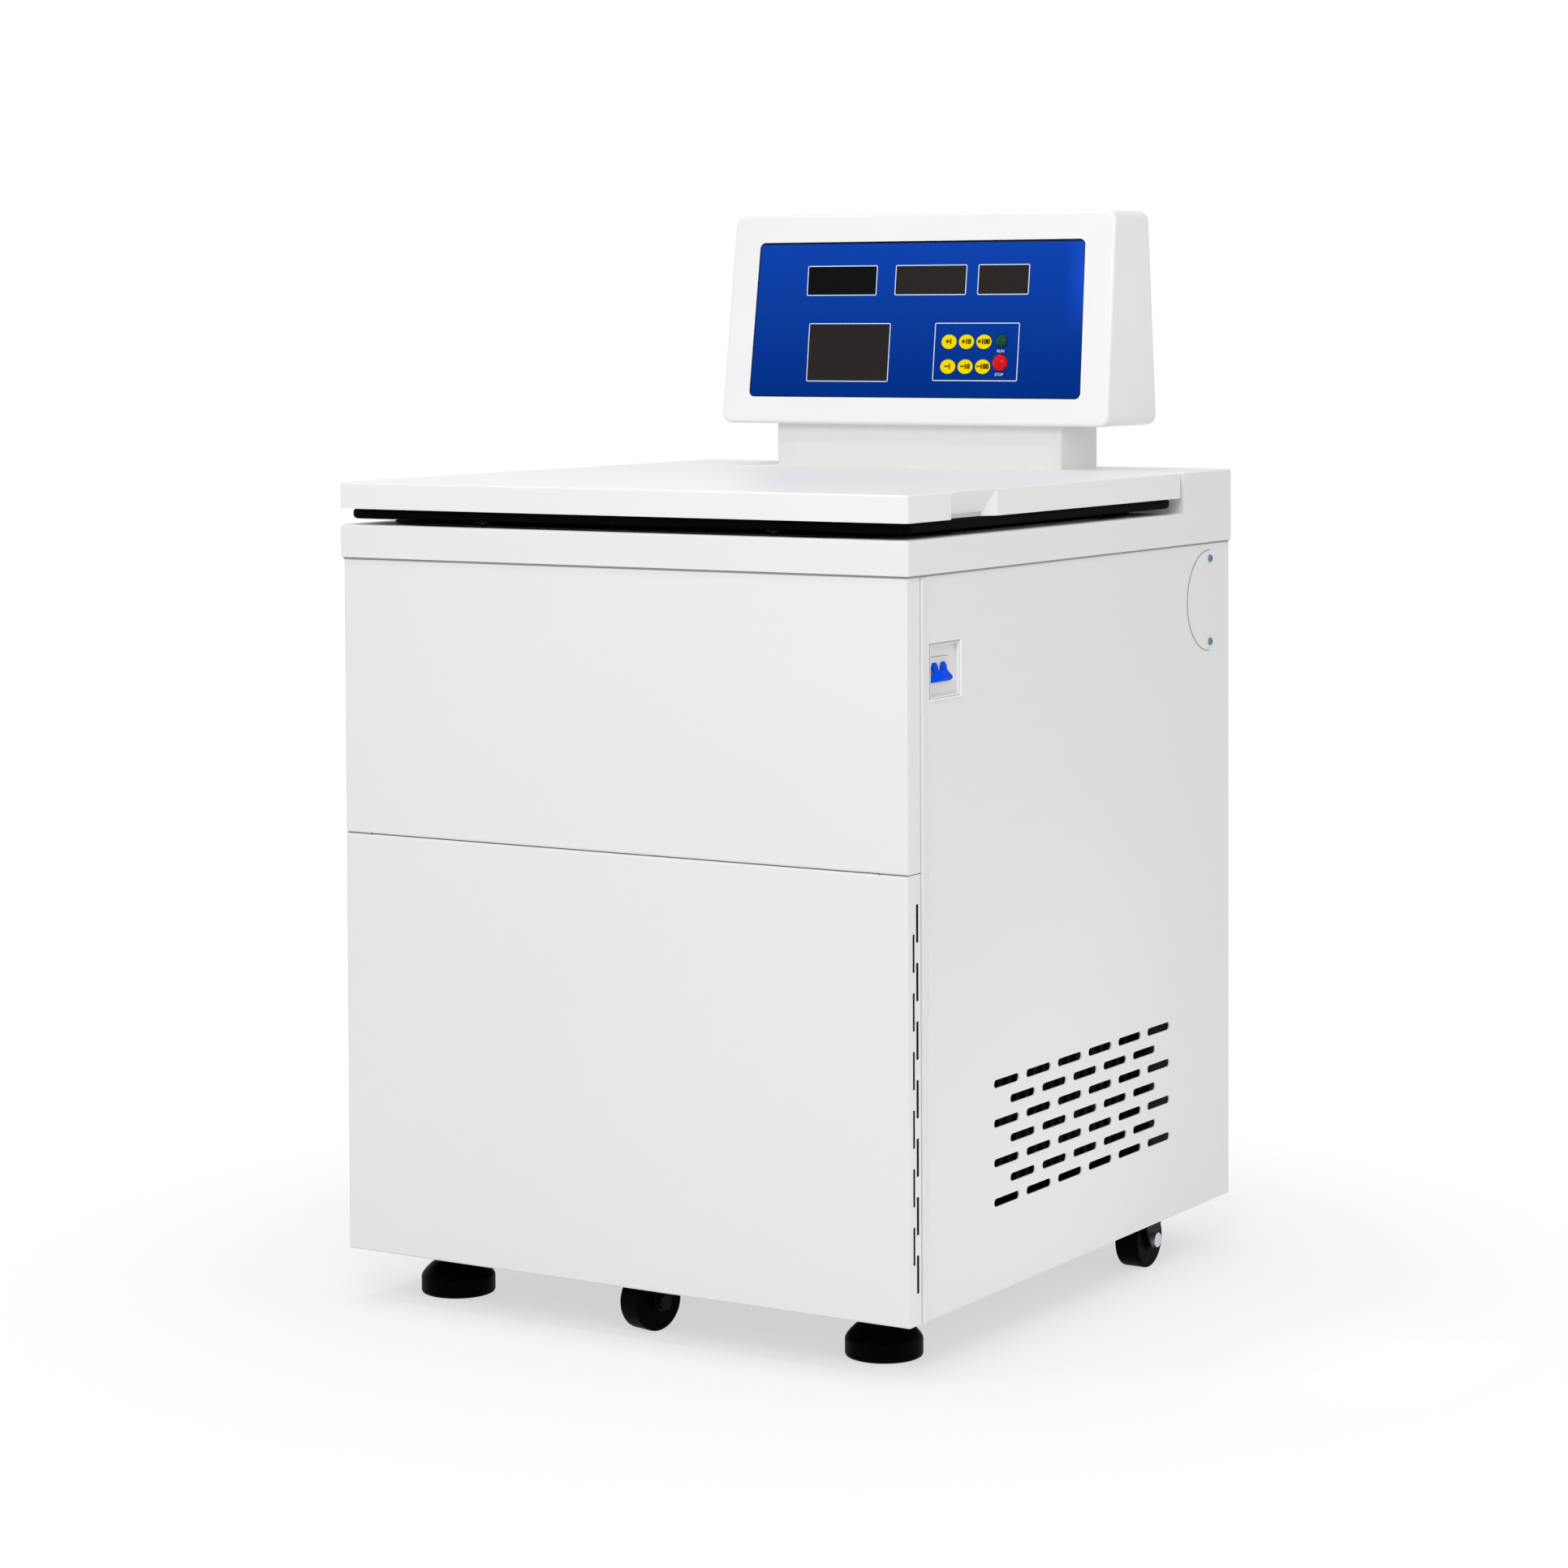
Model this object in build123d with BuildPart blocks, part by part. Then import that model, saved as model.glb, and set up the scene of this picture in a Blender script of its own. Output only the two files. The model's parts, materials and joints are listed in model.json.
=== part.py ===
from build123d import *

import os
from math import atan, cos, hypot, radians, sin

# Floor-standing refrigerated centrifuge with a hinged lid and a display head.
# Millimetres. The origin is on the floor, below the middle of the top frame.
# The front faces -Y and +Z is up.

os.makedirs("parts", exist_ok=True)

# ---------------------------------------------------------------- driving sizes

# Cabinet
cabinet_width = 694.0        # over the side panels
cabinet_depth = 732.0        # front panel face to rear panel face
skirt_z = 55.0               # lower edge of the panels
base_z = 88.0                # underside of the base pan
front_split_z = 504.5        # joint between the two front panels
rim_z = 800.0                # lower edge of the top frame
rim_height = 35.0
rim_overhang = 3.0           # top frame stands proud of the panels
sheet = 1.5                  # panel sheet thickness
panel_gap = 1.0              # open joint between neighbouring panels
panel_fit = 0.5              # panel sheet to the welded chassis
front_return = 26.0          # depth of the front pans' side walls
pan_lip = 10.0               # depth of their upper and lower walls
panel_edge_r = 2.5           # bend radius of the front pans
panel_flange = 11.0          # folded foot of the side panels
rest_gap = 0.3               # clearance of a seated piece

# Chassis
chassis_plate = 3.0
post_leg = 30.0
deck_plate = 4.0
motor_deck_z = 420.0         # top of the plate that carries the drive

# Top frame and lid
lid_gap = 17.0               # top frame to the lid's lower edge
lid_thickness = 28.0
lid_depth = 608.0
lid_wall = 3.0
lid_rear_gap = 6.0           # lid to the rear block
frame_corner_r = 4.0
frame_edge_r = 2.5
land_height = 1.5            # raised seat for the lid seal
land_margin = 28.0           # land's edge in from the frame's edge
land_corner_r = 150.0
lid_return = 24.0            # width of the lid's return flange
liner_inset = 6.0
liner_thickness = 11.0
liner_corner_r = 16.0
liner_edge_r = 4.5
seal_width = 14.0
grip_length = 97.5           # finger notch in each side of the lid
grip_front = 87.0            # lid's front edge to the notch
grip_depth = 12.0
grip_taper = 17.0            # length of the notch's sloping ends
grip_lip = 4.5               # notch's lower edge above the lid's lower edge

# Lid hinges and locks
hinge_spread = 400.0         # between the two hinges
hinge_back = 8.0             # hinge axis in from the lid's rear edge
hinge_drop = 10.0            # hinge axis below the lid's top
hinge_pin_r = 3.0
hinge_knuckle_r = 6.0
hinge_fixed_width = 30.0
hinge_leaf_width = 15.0
hinge_leaf_length = 45.0
hinge_running = 0.05         # radial clearance of the pin in the lid's knuckles
hinge_side_gap = 0.4
hinge_clear = 2.0            # lid's cut-outs round the knuckles
hinge_arm_height = 8.0
hinge_foot_height = 24.0
striker_pitch = 360.0
lock_back = 32.0             # striker in from the lid's front edge
striker_plate = 4.0
striker_width = 14.0
striker_reach = 20.0         # below the top frame's upper face
striker_slot = 4.0           # clearance round the striker in the top frame
lock_width = 44.0
lock_height = 38.0

# Chamber
bowl_margin = 54.0           # lid's edge to the bowl's bore
bowl_wall = 1.5
bowl_floor_z = 600.0
bowl_fillet = 24.0
bowl_flange = 22.0
bowl_hole_r = 48.0
opening_margin = 2.0         # top frame's opening over the bowl's bore
foam_wall = 28.0
foam_floor = 38.0
armour_wall = 8.0

# Drive and rotor
motor_r = 80.0
motor_drop = 120.0           # motor can below its deck
motor_rise = 70.0            # motor can above its flange
motor_flange_r = 122.0
motor_flange = 12.0
motor_neck_r = 40.0
mount_r = 14.0
mount_height = 22.0
mount_count = 4
spindle_r = 12.0
spindle_running = 0.3
yoke_z = 716.0               # trunnion axis height
yoke_thickness = 26.0
yoke_share = 0.66            # yoke radius, of the bowl's
trunnion_share = 0.52        # rotor axis to trunnion axis, of the bowl's radius
trunnion_r = 6.0
trunnion_running = 0.05
trunnion_length = 6.0
notch_side = 9.0             # bucket to the yoke on each side of its gap
bucket_count = 4
bucket_share = 0.192         # bucket radius, of the bowl's
bucket_wall = 3.0
bucket_above = 22.0          # rim above the trunnion axis
bucket_drop_share = 0.392    # trunnion axis to the bucket's foot, of the bowl's radius
bucket_rim_height = 5.0
boss_r = 13.0
nut_r = 24.0
nut_height = 30.0
nut_lobes = 6

# Refrigeration and electrics
condenser_length = 380.0
condenser_height = 230.0
condenser_depth = 40.0
condenser_gap = 18.0         # coil to the side panel
fin_pitch = 19.0
fin_slot = 9.0
fan_r = 98.0
fan_hub_r = 28.0
fan_blades = 5
fan_depth = 22.0
shroud_r = 104.0
shroud_wall = 5.0
shroud_depth = 34.0
fan_motor_r = 26.0
compressor_r = 80.0
compressor_height = 190.0
compressor_foot = 184.0      # length of its foot plate
compressor_side = 187.0      # left side panel to the compressor's axis
compressor_back = 176.0      # rear panel to the compressor's axis
inverter_x = -25.0
inverter_front = 116.0       # front panel to the inverter's middle
inverter_width = 190.0
inverter_depth = 150.0
inverter_height = 230.0
inverter_wall = 3.0
gland_r = 14.0
cable_r = 6.5
gland_side = 77.0            # left side panel to the gland's axis
gland_wall = 4.0
gland_z = 130.0

# Side vents
vent_length = 54.0
vent_width = 8.6
vent_pitch_y = 70.0
vent_pitch_z = 20.4
vent_rows = 7
vent_columns = 6
vent_mid_y = 12.5
vent_mid_z = 208.0
louvre_length = 150.0        # slots of the rear panel
louvre_pitch = 23.0
louvre_rows = 9
slit_width = 3.0
slit_length = 38.0
slit_pitch = 58.3
slit_top_z = 474.7
slit_count = 7
slit_front_y = 11.7          # front panel face to the front row of slits
slit_row_pitch = 7.3

# Mains breaker
window_front = 45.0          # cabinet front to the breaker window
window_width = 62.0
window_low_z = 675.0
window_height = 55.5
recess_depth = 4.5
recess_wall = 1.2
recess_flange = 4.0
breaker_width = 36.0         # two poles
breaker_pole = 18.0
breaker_height = 85.0
breaker_depth = 44.0
nose_low_z = 695.0
nose_height = 21.0
nose_lip = 1.5               # nose tip below the panel face
nose_rake = 3.0              # foot of the nose behind its tip
nose_scoop = 2.1             # hollow of the nose's front
nose_clear = 0.5
breaker_shift = -5.5         # breaker's middle from the window's middle
lever_z = 702.6
lever_drop = 12.6            # lever pivot below the panel face
lever_hub_r = 11.4
lever_in_r = 11.8
lever_out_r = 15.4
lever_width = 45.0
lever_neck = 27.0
lever_horn = 8.0
lever_low_angle = -50.0      # lower edge of the handle, from the horizontal
lever_waist_angle = -30.0    # where the handle is widest
lever_high_angle = -1.0
lever_slot_clear = 0.4
lever_pin_r = 1.5

# Hinge access covers on the side panels
cover_r = 56.0
cover_back = 50.0            # rear panel to the middle of the cover's arc
cover_mid_z = 734.5
cover_tail = 18.0            # straight part behind the arc's centre
cover_thickness = 0.8
screw_spread = 93.4
access_r = 30.0              # opening behind the cover
access_ahead = 14.0          # its middle ahead of the cover's centre
screw_r = 4.2
screw_head = 2.1
screw_shank_r = 2.0
screw_length = 7.0
screw_clear = 0.2

# Neck and display head
neck_width = 377.0
neck_depth = 90.0
neck_back = 18.0             # rear of the top frame to the neck
neck_height = 49.0
neck_wall = 3.0
head_depth = 124.7
head_top_depth = 83.0
head_height = 244.0
head_lean = 29.4             # top of the face behind its foot
head_width = 512.0
head_top_width = 504.0
head_corner_r = 12.0
head_edge_r = 4.0            # rounding round the front and the rear
head_wall = 4.0
panel_pocket = 2.6
panel_plate = 1.8
panel_low = 31.6             # face's foot to the display panel
panel_high = 213.2
panel_low_width = 438.6
panel_high_width = 430.6
panel_corner_r = 7.0
panel_clear = 0.3
ledge = 10.0
window_row = 168.0           # height up the face of the three small windows
small_window_height = 32.5
speed_x = -101.0
speed_width = 91.7
time_x = 17.7
time_width = 91.7
temperature_x = 113.0
temperature_width = 64.0
screen_x = -87.2
screen_row = 83.9
screen_width = 107.5
screen_height = 65.7
lens_thickness = 1.5
key_x = 46.5
key_pitch = 22.8
key_high_row = 96.4
key_low_row = 67.8
key_width = 19.6             # oval cap of a step key
key_height = 16.6
key_round = 0.3              # rounding of a cap's rim
key_lip = 1.2                # flange beyond the cap
key_flange = 1.2
key_proud = 0.5
key_stroke = 1.2
key_post = 1.1
key_clear = 0.3
run_x = 115.3
run_row = 97.4
run_r = 7.4
stop_x = 114.3
stop_row = 72.5
stop_r = 9.4
dome_skirt = 1.2             # straight part of the RUN and STOP buttons
dome_share = 0.5             # height of their domes, of the radius
board_thickness = 1.6
board_margin = 2.0
boss_post_r = 4.0
rear_cover_margin = 16.0
rear_cover_plate = 2.0
rear_cover_ledge = 8.0

# Feet
foot_side = 80.0             # side panel to the foot's axis
foot_back = 92.0             # top frame's front edge to the foot's axis
foot_r = 40.0
foot_rim = 21.0
foot_height = 42.0
foot_shoulder_r = 29.0       # top of the pad's rounded shoulder
stem_r = 8.0
stem_top = 132.0
foot_travel = 12.0
nut_across = 24.0
lock_nut_height = 8.0
thread_clear = 0.05
stem_clear = 0.5

# Casters
wheel_r = 31.5
tread_width = 28.0
hub_width = 31.0
wheel_hub_r = 13.0
axle_r = 5.0
axle_running = 0.05
fork_plate = 2.5
fork_gap = 1.0               # wheel hub to fork leg
caster_plate = 3.0
front_caster_x = 12.0
front_caster_back = 79.0     # top frame's front edge to the swivel axis
front_trail = 24.0
front_heading = -103.0       # degrees, swivel axis towards the wheel
front_lift = 1.0             # the feet carry the front, the wheel hangs clear
front_plate_size = 64.0
rear_caster_side = 32.0      # side panel to the wheel's middle
rear_caster_back = 164.0     # rear panel to the axle
rear_plate_width = 52.0
rear_plate_length = 84.0
rear_leg_length = 63.0
bolt_head_r = 8.0
bolt_head = 5.0
kingpin_r = 6.0
kingpin_head_r = 9.0
kingpin_head = 4.0
fork_crown_r = 24.0
fork_crown = 5.0
race_height = 4.0
axle_eye_r = 10.0
leg_width = 44.0
leg_shift = 8.8              # fork legs ahead of the kingpin

# ---------------------------------------------------------------- derived levels

rim_width = cabinet_width + 2 * rim_overhang
rim_depth = cabinet_depth + 2 * rim_overhang
rim_wall = rim_overhang + sheet + panel_fit
rim_top_z = rim_z + rim_height
lid_z = rim_top_z + lid_gap
lid_top_z = lid_z + lid_thickness
front_y = -rim_depth / 2
rear_y = rim_depth / 2
panel_front_y = -cabinet_depth / 2
panel_rear_y = cabinet_depth / 2
panel_x = cabinet_width / 2
lid_rear_y = front_y + lid_depth
lid_mid_y = (front_y + lid_rear_y) / 2
bowl_r = lid_depth / 2 - bowl_margin
yoke_r = yoke_share * bowl_r
trunnion_radius = trunnion_share * bowl_r
bucket_r = bucket_share * bowl_r
bucket_rim_r = bucket_r + bucket_wall
bucket_below = bucket_drop_share * bowl_r
notch_width = 2 * (bucket_r + notch_side)
block_front_y = lid_rear_y + lid_rear_gap
chassis_width = cabinet_width - 2 * (sheet + panel_fit)
chassis_depth = cabinet_depth - 2 * (sheet + panel_fit)
base_top_z = base_z + chassis_plate
frame_ceiling_z = rim_top_z - rim_wall
side_front_y = panel_front_y + front_return + panel_gap
chamber_y = lid_mid_y
opening_r = bowl_r + opening_margin
land_top_z = rim_top_z + land_height
liner_z = lid_z - liner_thickness
bowl_deck_z = bowl_floor_z - bowl_wall - foam_floor
hinge_y = lid_rear_y - hinge_back
hinge_z = lid_top_z - hinge_drop
window_y = panel_front_y + window_front + window_width / 2
window_z = window_low_z + window_height / 2
lock_y = front_y + lock_back
lock_spots = [(-striker_pitch / 2, lock_y), (striker_pitch / 2, lock_y)]
hinge_xs = (-hinge_spread / 2, hinge_spread / 2)
foot_x = panel_x - foot_side
foot_y = front_y + foot_back
foot_spots = [(-foot_x, foot_y), (foot_x, foot_y)]
rear_caster_x = panel_x - rear_caster_side
rear_caster_y = panel_rear_y - rear_caster_back
cover_y = panel_rear_y - cover_back
cover_screw_spots = [(cover_y, cover_mid_z - screw_spread / 2),
                     (cover_y, cover_mid_z + screw_spread / 2)]
compressor_x = compressor_side - panel_x
compressor_y = panel_rear_y - compressor_back
inverter_y = panel_front_y + inverter_front
gland_x = gland_side - panel_x
neck_mid_y = rear_y - neck_back - neck_depth / 2
head_front_y = rear_y - head_depth


def vertical_edges(piece):
    """Edges of a solid that run straight up."""
    return piece.edges().filter_by(Axis.Z)


# ================================================================ cabinet

# Welded chassis: base pan, four corner posts and the two inner decks
with BuildPart() as chassis_frame:
    with BuildSketch(Plane.XY.offset(base_z)):
        Rectangle(chassis_width, chassis_depth)
    extrude(amount=chassis_plate)
    with BuildSketch(Plane.XY.offset(base_z)):
        Rectangle(chassis_width, chassis_depth)
        Rectangle(chassis_width - 2 * chassis_plate, chassis_depth - 2 * chassis_plate,
                  mode=Mode.SUBTRACT)
    extrude(amount=-(base_z - skirt_z - sheet - panel_fit))
    with BuildSketch(Plane.XY.offset(base_top_z)):
        for side in (-1, 1):
            for end in (-1, 1):
                corner = (side * chassis_width / 2, end * chassis_depth / 2)
                leg = (side * (chassis_width - post_leg) / 2, end * (chassis_depth - post_leg) / 2)
                inset = (leg[0] - side * chassis_plate, leg[1] - end * chassis_plate)
                with Locations(leg):
                    Rectangle(post_leg, post_leg)
                with Locations(inset):
                    Rectangle(post_leg, post_leg, mode=Mode.SUBTRACT)
    extrude(amount=frame_ceiling_z - base_top_z)
    with BuildSketch(Plane.XY.offset(motor_deck_z - deck_plate)):
        Rectangle(chassis_width, chassis_depth)
        with Locations((0, chamber_y)):
            Circle(motor_r + 2 * sheet, mode=Mode.SUBTRACT)
    extrude(amount=deck_plate)
    with BuildSketch(Plane.XY.offset(bowl_deck_z - deck_plate)):
        Rectangle(chassis_width, chassis_depth)
        with Locations((0, chamber_y)):
            Circle(bowl_hole_r, mode=Mode.SUBTRACT)
    extrude(amount=deck_plate)
    with BuildSketch(Plane.XY.offset(base_z)):
        with Locations(*foot_spots):
            Circle(stem_r + stem_clear)
    extrude(amount=chassis_plate, mode=Mode.SUBTRACT)
chassis_frame.part.label = "chassis_frame"
export_step(chassis_frame.part, "parts/chassis_frame.step")


def slit_centres():
    """Middles of the upright slits in a front pan's side wall, as (y, z), in two staggered rows."""
    top_z = slit_top_z - slit_length / 2
    front_row_y = panel_front_y + slit_front_y
    rear_row = [(front_row_y + slit_row_pitch, top_z - number * slit_pitch)
                for number in range(slit_count)]
    front_row = [(front_row_y, top_z - (number + 0.5) * slit_pitch)
                 for number in range(slit_count - 1)]
    return rear_row + front_row


def front_pan(low_z, high_z, has_slits):
    """Folded front panel: deep side walls, and shallow upper and lower walls between the posts."""
    with BuildPart() as pan:
        with BuildSketch(Plane.XZ.offset(-panel_front_y)):
            with Locations((0, (low_z + high_z) / 2)):
                Rectangle(cabinet_width, high_z - low_z)
        extrude(amount=-front_return)
        fillet(pan.edges().group_by(Axis.Y)[0], panel_edge_r)
        with BuildSketch(Plane.XZ.offset(-panel_front_y - sheet)):
            with Locations((0, (low_z + high_z) / 2)):
                Rectangle(cabinet_width - 2 * sheet, high_z - low_z - 2 * sheet)
            for side in (-1, 1):
                with Locations((side * (cabinet_width / 2 - sheet - post_leg / 2 - sheet),
                                (low_z + high_z) / 2)):
                    Rectangle(post_leg + 2 * sheet, high_z - low_z)
        extrude(amount=-front_return, mode=Mode.SUBTRACT)
        with BuildSketch(Plane.XZ.offset(-panel_front_y - pan_lip)):
            with Locations((0, (low_z + high_z) / 2)):
                Rectangle(cabinet_width - 2 * sheet, high_z - low_z)
        extrude(amount=-front_return, mode=Mode.SUBTRACT)
        if has_slits:
            with BuildSketch(Plane.YZ):
                with Locations(*slit_centres()):
                    Rectangle(slit_width, slit_length)
            extrude(amount=cabinet_width, both=True, mode=Mode.SUBTRACT)
    return pan


front_panel_upper = front_pan(front_split_z + panel_gap / 2, rim_z - rest_gap, has_slits=False)
front_panel_upper.part.label = "front_panel_upper"
export_step(front_panel_upper.part, "parts/front_panel_upper.step")

front_panel_lower = front_pan(skirt_z, front_split_z - panel_gap / 2, has_slits=True)
front_panel_lower.part.label = "front_panel_lower"
export_step(front_panel_lower.part, "parts/front_panel_lower.step")


def vent_centres():
    """Middles of the staggered side vents, as (y, z): long rows with a shorter row between."""
    centres = []
    for row in range(vent_rows):
        columns = vent_columns - row % 2
        z = vent_mid_z + ((vent_rows - 1) / 2 - row) * vent_pitch_z
        for column in range(columns):
            y = vent_mid_y + (column - (columns - 1) / 2) * vent_pitch_y
            centres.append((y, z))
    return centres


def side_panel(side, has_window):
    """Flat side panel with a foot flange and vents; side is -1 for left and 1 for right."""
    outer_x = side * panel_x
    panel_length = panel_rear_y - side_front_y
    panel_height = rim_z - rest_gap - skirt_z
    mid_y = (panel_rear_y + side_front_y) / 2
    with BuildPart() as panel:
        with BuildSketch(Plane.YZ.offset(outer_x)):
            with Locations((mid_y, skirt_z + panel_height / 2)):
                Rectangle(panel_length, panel_height)
        extrude(amount=-side * sheet)
        with BuildSketch(Plane.XY.offset(skirt_z)):
            with Locations((outer_x - side * panel_flange / 2, mid_y)):
                Rectangle(panel_flange, panel_length)
        extrude(amount=sheet)
        with BuildSketch(Plane.YZ.offset(outer_x)):
            with Locations(*vent_centres()):
                SlotOverall(vent_length, vent_width)
            with Locations((cover_y - access_ahead, cover_mid_z)):
                Circle(access_r)
            with Locations(*cover_screw_spots):
                Circle(screw_shank_r + screw_clear)
            if has_window:
                with Locations((window_y, window_z)):
                    Rectangle(window_width, window_height)
        extrude(amount=-side * sheet, mode=Mode.SUBTRACT)
    return panel


side_panel_left = side_panel(-1, has_window=False)
side_panel_left.part.label = "side_panel_left"
export_step(side_panel_left.part, "parts/side_panel_left.step")

side_panel_right = side_panel(1, has_window=True)
side_panel_right.part.label = "side_panel_right"
export_step(side_panel_right.part, "parts/side_panel_right.step")

# Rear panel: upright sheet with a louvred grille and the cable gland's hole
with BuildPart() as rear_panel:
    rear_height = rim_z - rest_gap - skirt_z - sheet - panel_fit
    rear_low_z = skirt_z + sheet + panel_fit
    with BuildSketch(Plane.XZ.offset(-panel_rear_y)):
        with Locations((0, rear_low_z + rear_height / 2)):
            Rectangle(cabinet_width - 2 * sheet - 2 * rest_gap, rear_height)
    extrude(amount=sheet)
    with BuildSketch(Plane.XZ.offset(-panel_rear_y)):
        with Locations((compressor_x, vent_mid_z)):
            with GridLocations(0, louvre_pitch, 1, louvre_rows):
                SlotOverall(louvre_length, vent_width)
        with Locations((gland_x, gland_z)):
            Circle(gland_r - gland_wall)
    extrude(amount=sheet, mode=Mode.SUBTRACT)
rear_panel.part.label = "rear_panel"
export_step(rear_panel.part, "parts/rear_panel.step")

# Top frame: rim skirt, flat rim and the raised block behind the lid, open underneath
with BuildPart() as top_frame:
    with BuildSketch(Plane.YZ):
        with BuildLine():
            Polyline((front_y, rim_z), (rear_y, rim_z), (rear_y, lid_top_z), (block_front_y, lid_top_z),
                     (block_front_y, rim_top_z), (front_y, rim_top_z), close=True)
        make_face()
    extrude(amount=rim_width / 2, both=True)
    corner_edges = vertical_edges(top_frame).filter_by(lambda e: abs(e.center().Y) > block_front_y + 1)
    fillet(corner_edges, frame_corner_r)
    rim_edges = top_frame.edges().filter_by(lambda e: abs(e.center().Z - rim_top_z) < 0.1
                                            and e.center().Y < block_front_y - 1)
    fillet(rim_edges, frame_edge_r)
    fillet(top_frame.edges().group_by(Axis.Z)[-1], frame_edge_r)
    with BuildSketch(Plane.YZ):
        with BuildLine():
            Polyline((front_y + rim_wall, rim_z), (rear_y - rim_wall, rim_z),
                     (rear_y - rim_wall, lid_top_z - rim_wall),
                     (block_front_y + rim_wall, lid_top_z - rim_wall),
                     (block_front_y + rim_wall, frame_ceiling_z),
                     (front_y + rim_wall, frame_ceiling_z), close=True)
        make_face()
    extrude(amount=rim_width / 2 - rim_wall, both=True, mode=Mode.SUBTRACT)
    with BuildSketch(Plane.XY.offset(rim_top_z)):
        with Locations((0, (front_y + block_front_y) / 2)):
            RectangleRounded(rim_width - 2 * land_margin,
                             block_front_y - front_y - 2 * land_margin, land_corner_r)
    extrude(amount=land_height)
    with BuildSketch(Plane.XY.offset(frame_ceiling_z)):
        with Locations((0, chamber_y)):
            Circle(opening_r)
        with Locations(*lock_spots):
            Rectangle(striker_plate + striker_slot, striker_width + 2 * striker_slot)
    extrude(amount=rim_wall + land_height, mode=Mode.SUBTRACT)
    with BuildSketch(Plane.XZ.offset(-block_front_y)):
        with Locations((-hinge_spread / 2, hinge_z), (hinge_spread / 2, hinge_z)):
            Rectangle(hinge_fixed_width + 2 * rest_gap, hinge_arm_height + 2 * rest_gap)
    extrude(amount=-rim_wall, mode=Mode.SUBTRACT)
top_frame.part.label = "top_frame"
export_step(top_frame.part, "parts/top_frame.step")

# Neck between the rear block and the display head
with BuildPart() as neck_column:
    with BuildSketch(Plane.XY.offset(lid_top_z)):
        with Locations((0, neck_mid_y)):
            RectangleRounded(neck_width, neck_depth, neck_wall)
            Rectangle(neck_width - 2 * neck_wall, neck_depth - 2 * neck_wall, mode=Mode.SUBTRACT)
    extrude(amount=neck_height)
neck_column.part.label = "neck_column"
export_step(neck_column.part, "parts/neck_column.step")

# ================================================================ lid

grip_mid_y = front_y + grip_front + grip_length / 2
liner_depth = lid_depth - 2 * liner_inset
hinge_group_width = hinge_fixed_width + 2 * (hinge_side_gap + hinge_leaf_width)

# Lid shell: a pan with a return flange, finger notches and hinge cut-outs
with BuildPart() as lid_shell:
    with BuildSketch(Plane.XY.offset(lid_z)):
        with Locations((0, lid_mid_y)):
            Rectangle(rim_width, lid_depth)
    extrude(amount=lid_thickness)
    fillet(vertical_edges(lid_shell), frame_corner_r)
    fillet(lid_shell.edges().group_by(Axis.Z)[-1], frame_edge_r)
    with BuildSketch(Plane.XY.offset(lid_z + lid_wall)):
        with Locations((0, lid_mid_y)):
            Rectangle(rim_width - 2 * lid_wall, lid_depth - 2 * lid_wall)
        for side in (-1, 1):
            with Locations((side * (rim_width - grip_depth) / 2 - side * lid_wall, grip_mid_y)):
                Rectangle(grip_depth, grip_length + 2 * lid_wall, mode=Mode.SUBTRACT)
    extrude(amount=lid_thickness - 2 * lid_wall, mode=Mode.SUBTRACT)
    with BuildSketch(Plane.XY.offset(lid_z)):
        with Locations((0, lid_mid_y)):
            Rectangle(rim_width - 2 * lid_return, lid_depth - 2 * lid_return)
    extrude(amount=lid_wall, mode=Mode.SUBTRACT)
    for side in (-1, 1):
        for z, depth in ((lid_z, grip_depth), (lid_top_z, rest_gap)):
            taper = grip_taper * depth / grip_depth
            outer_x = side * (rim_width / 2 + rest_gap)
            inner_x = side * (rim_width / 2 - depth)
            low_y = grip_mid_y - grip_length / 2
            high_y = grip_mid_y + grip_length / 2
            with BuildSketch(Plane.XY.offset(z)):
                with BuildLine():
                    Polyline((outer_x, low_y), (outer_x, high_y), (inner_x, high_y - taper),
                             (inner_x, low_y + taper), close=True)
                make_face()
        loft(mode=Mode.SUBTRACT)
        with BuildSketch(Plane.XY.offset(lid_z)):
            with Locations((side * (rim_width / 2 - grip_depth / 2), grip_mid_y)):
                Rectangle(grip_depth + 2 * rest_gap, grip_length - 2 * grip_taper)
        extrude(amount=grip_lip, mode=Mode.SUBTRACT)
    knuckle_cut = hinge_back + hinge_knuckle_r + hinge_clear
    with BuildSketch(Plane.XY.offset(lid_z)):
        for hinge_x in hinge_xs:
            with Locations((hinge_x, lid_rear_y - knuckle_cut / 2)):
                Rectangle(hinge_fixed_width + 2 * hinge_clear, knuckle_cut)
    extrude(amount=lid_thickness, mode=Mode.SUBTRACT)
    with BuildSketch(Plane.XY.offset(lid_z)):
        for hinge_x in hinge_xs:
            with Locations((hinge_x, lid_rear_y - knuckle_cut / 2)):
                Rectangle(hinge_group_width + hinge_clear, knuckle_cut)
    extrude(amount=lid_thickness - lid_wall, mode=Mode.SUBTRACT)
lid_shell.part.label = "lid_shell"
export_step(lid_shell.part, "parts/lid_shell.step")

# Lid liner: black moulded tray under the lid, rounded all round its edge
with BuildPart() as lid_liner:
    with BuildSketch(Plane.XY.offset(liner_z)):
        with Locations((0, lid_mid_y)):
            RectangleRounded(rim_width - 2 * liner_inset, liner_depth, liner_corner_r)
    extrude(amount=liner_thickness)
    fillet(lid_liner.edges().group_by(Axis.Z)[0], liner_edge_r)
    fillet(lid_liner.edges().group_by(Axis.Z)[-1], liner_edge_r)
lid_liner.part.label = "lid_liner"
export_step(lid_liner.part, "parts/lid_liner.step")

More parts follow.
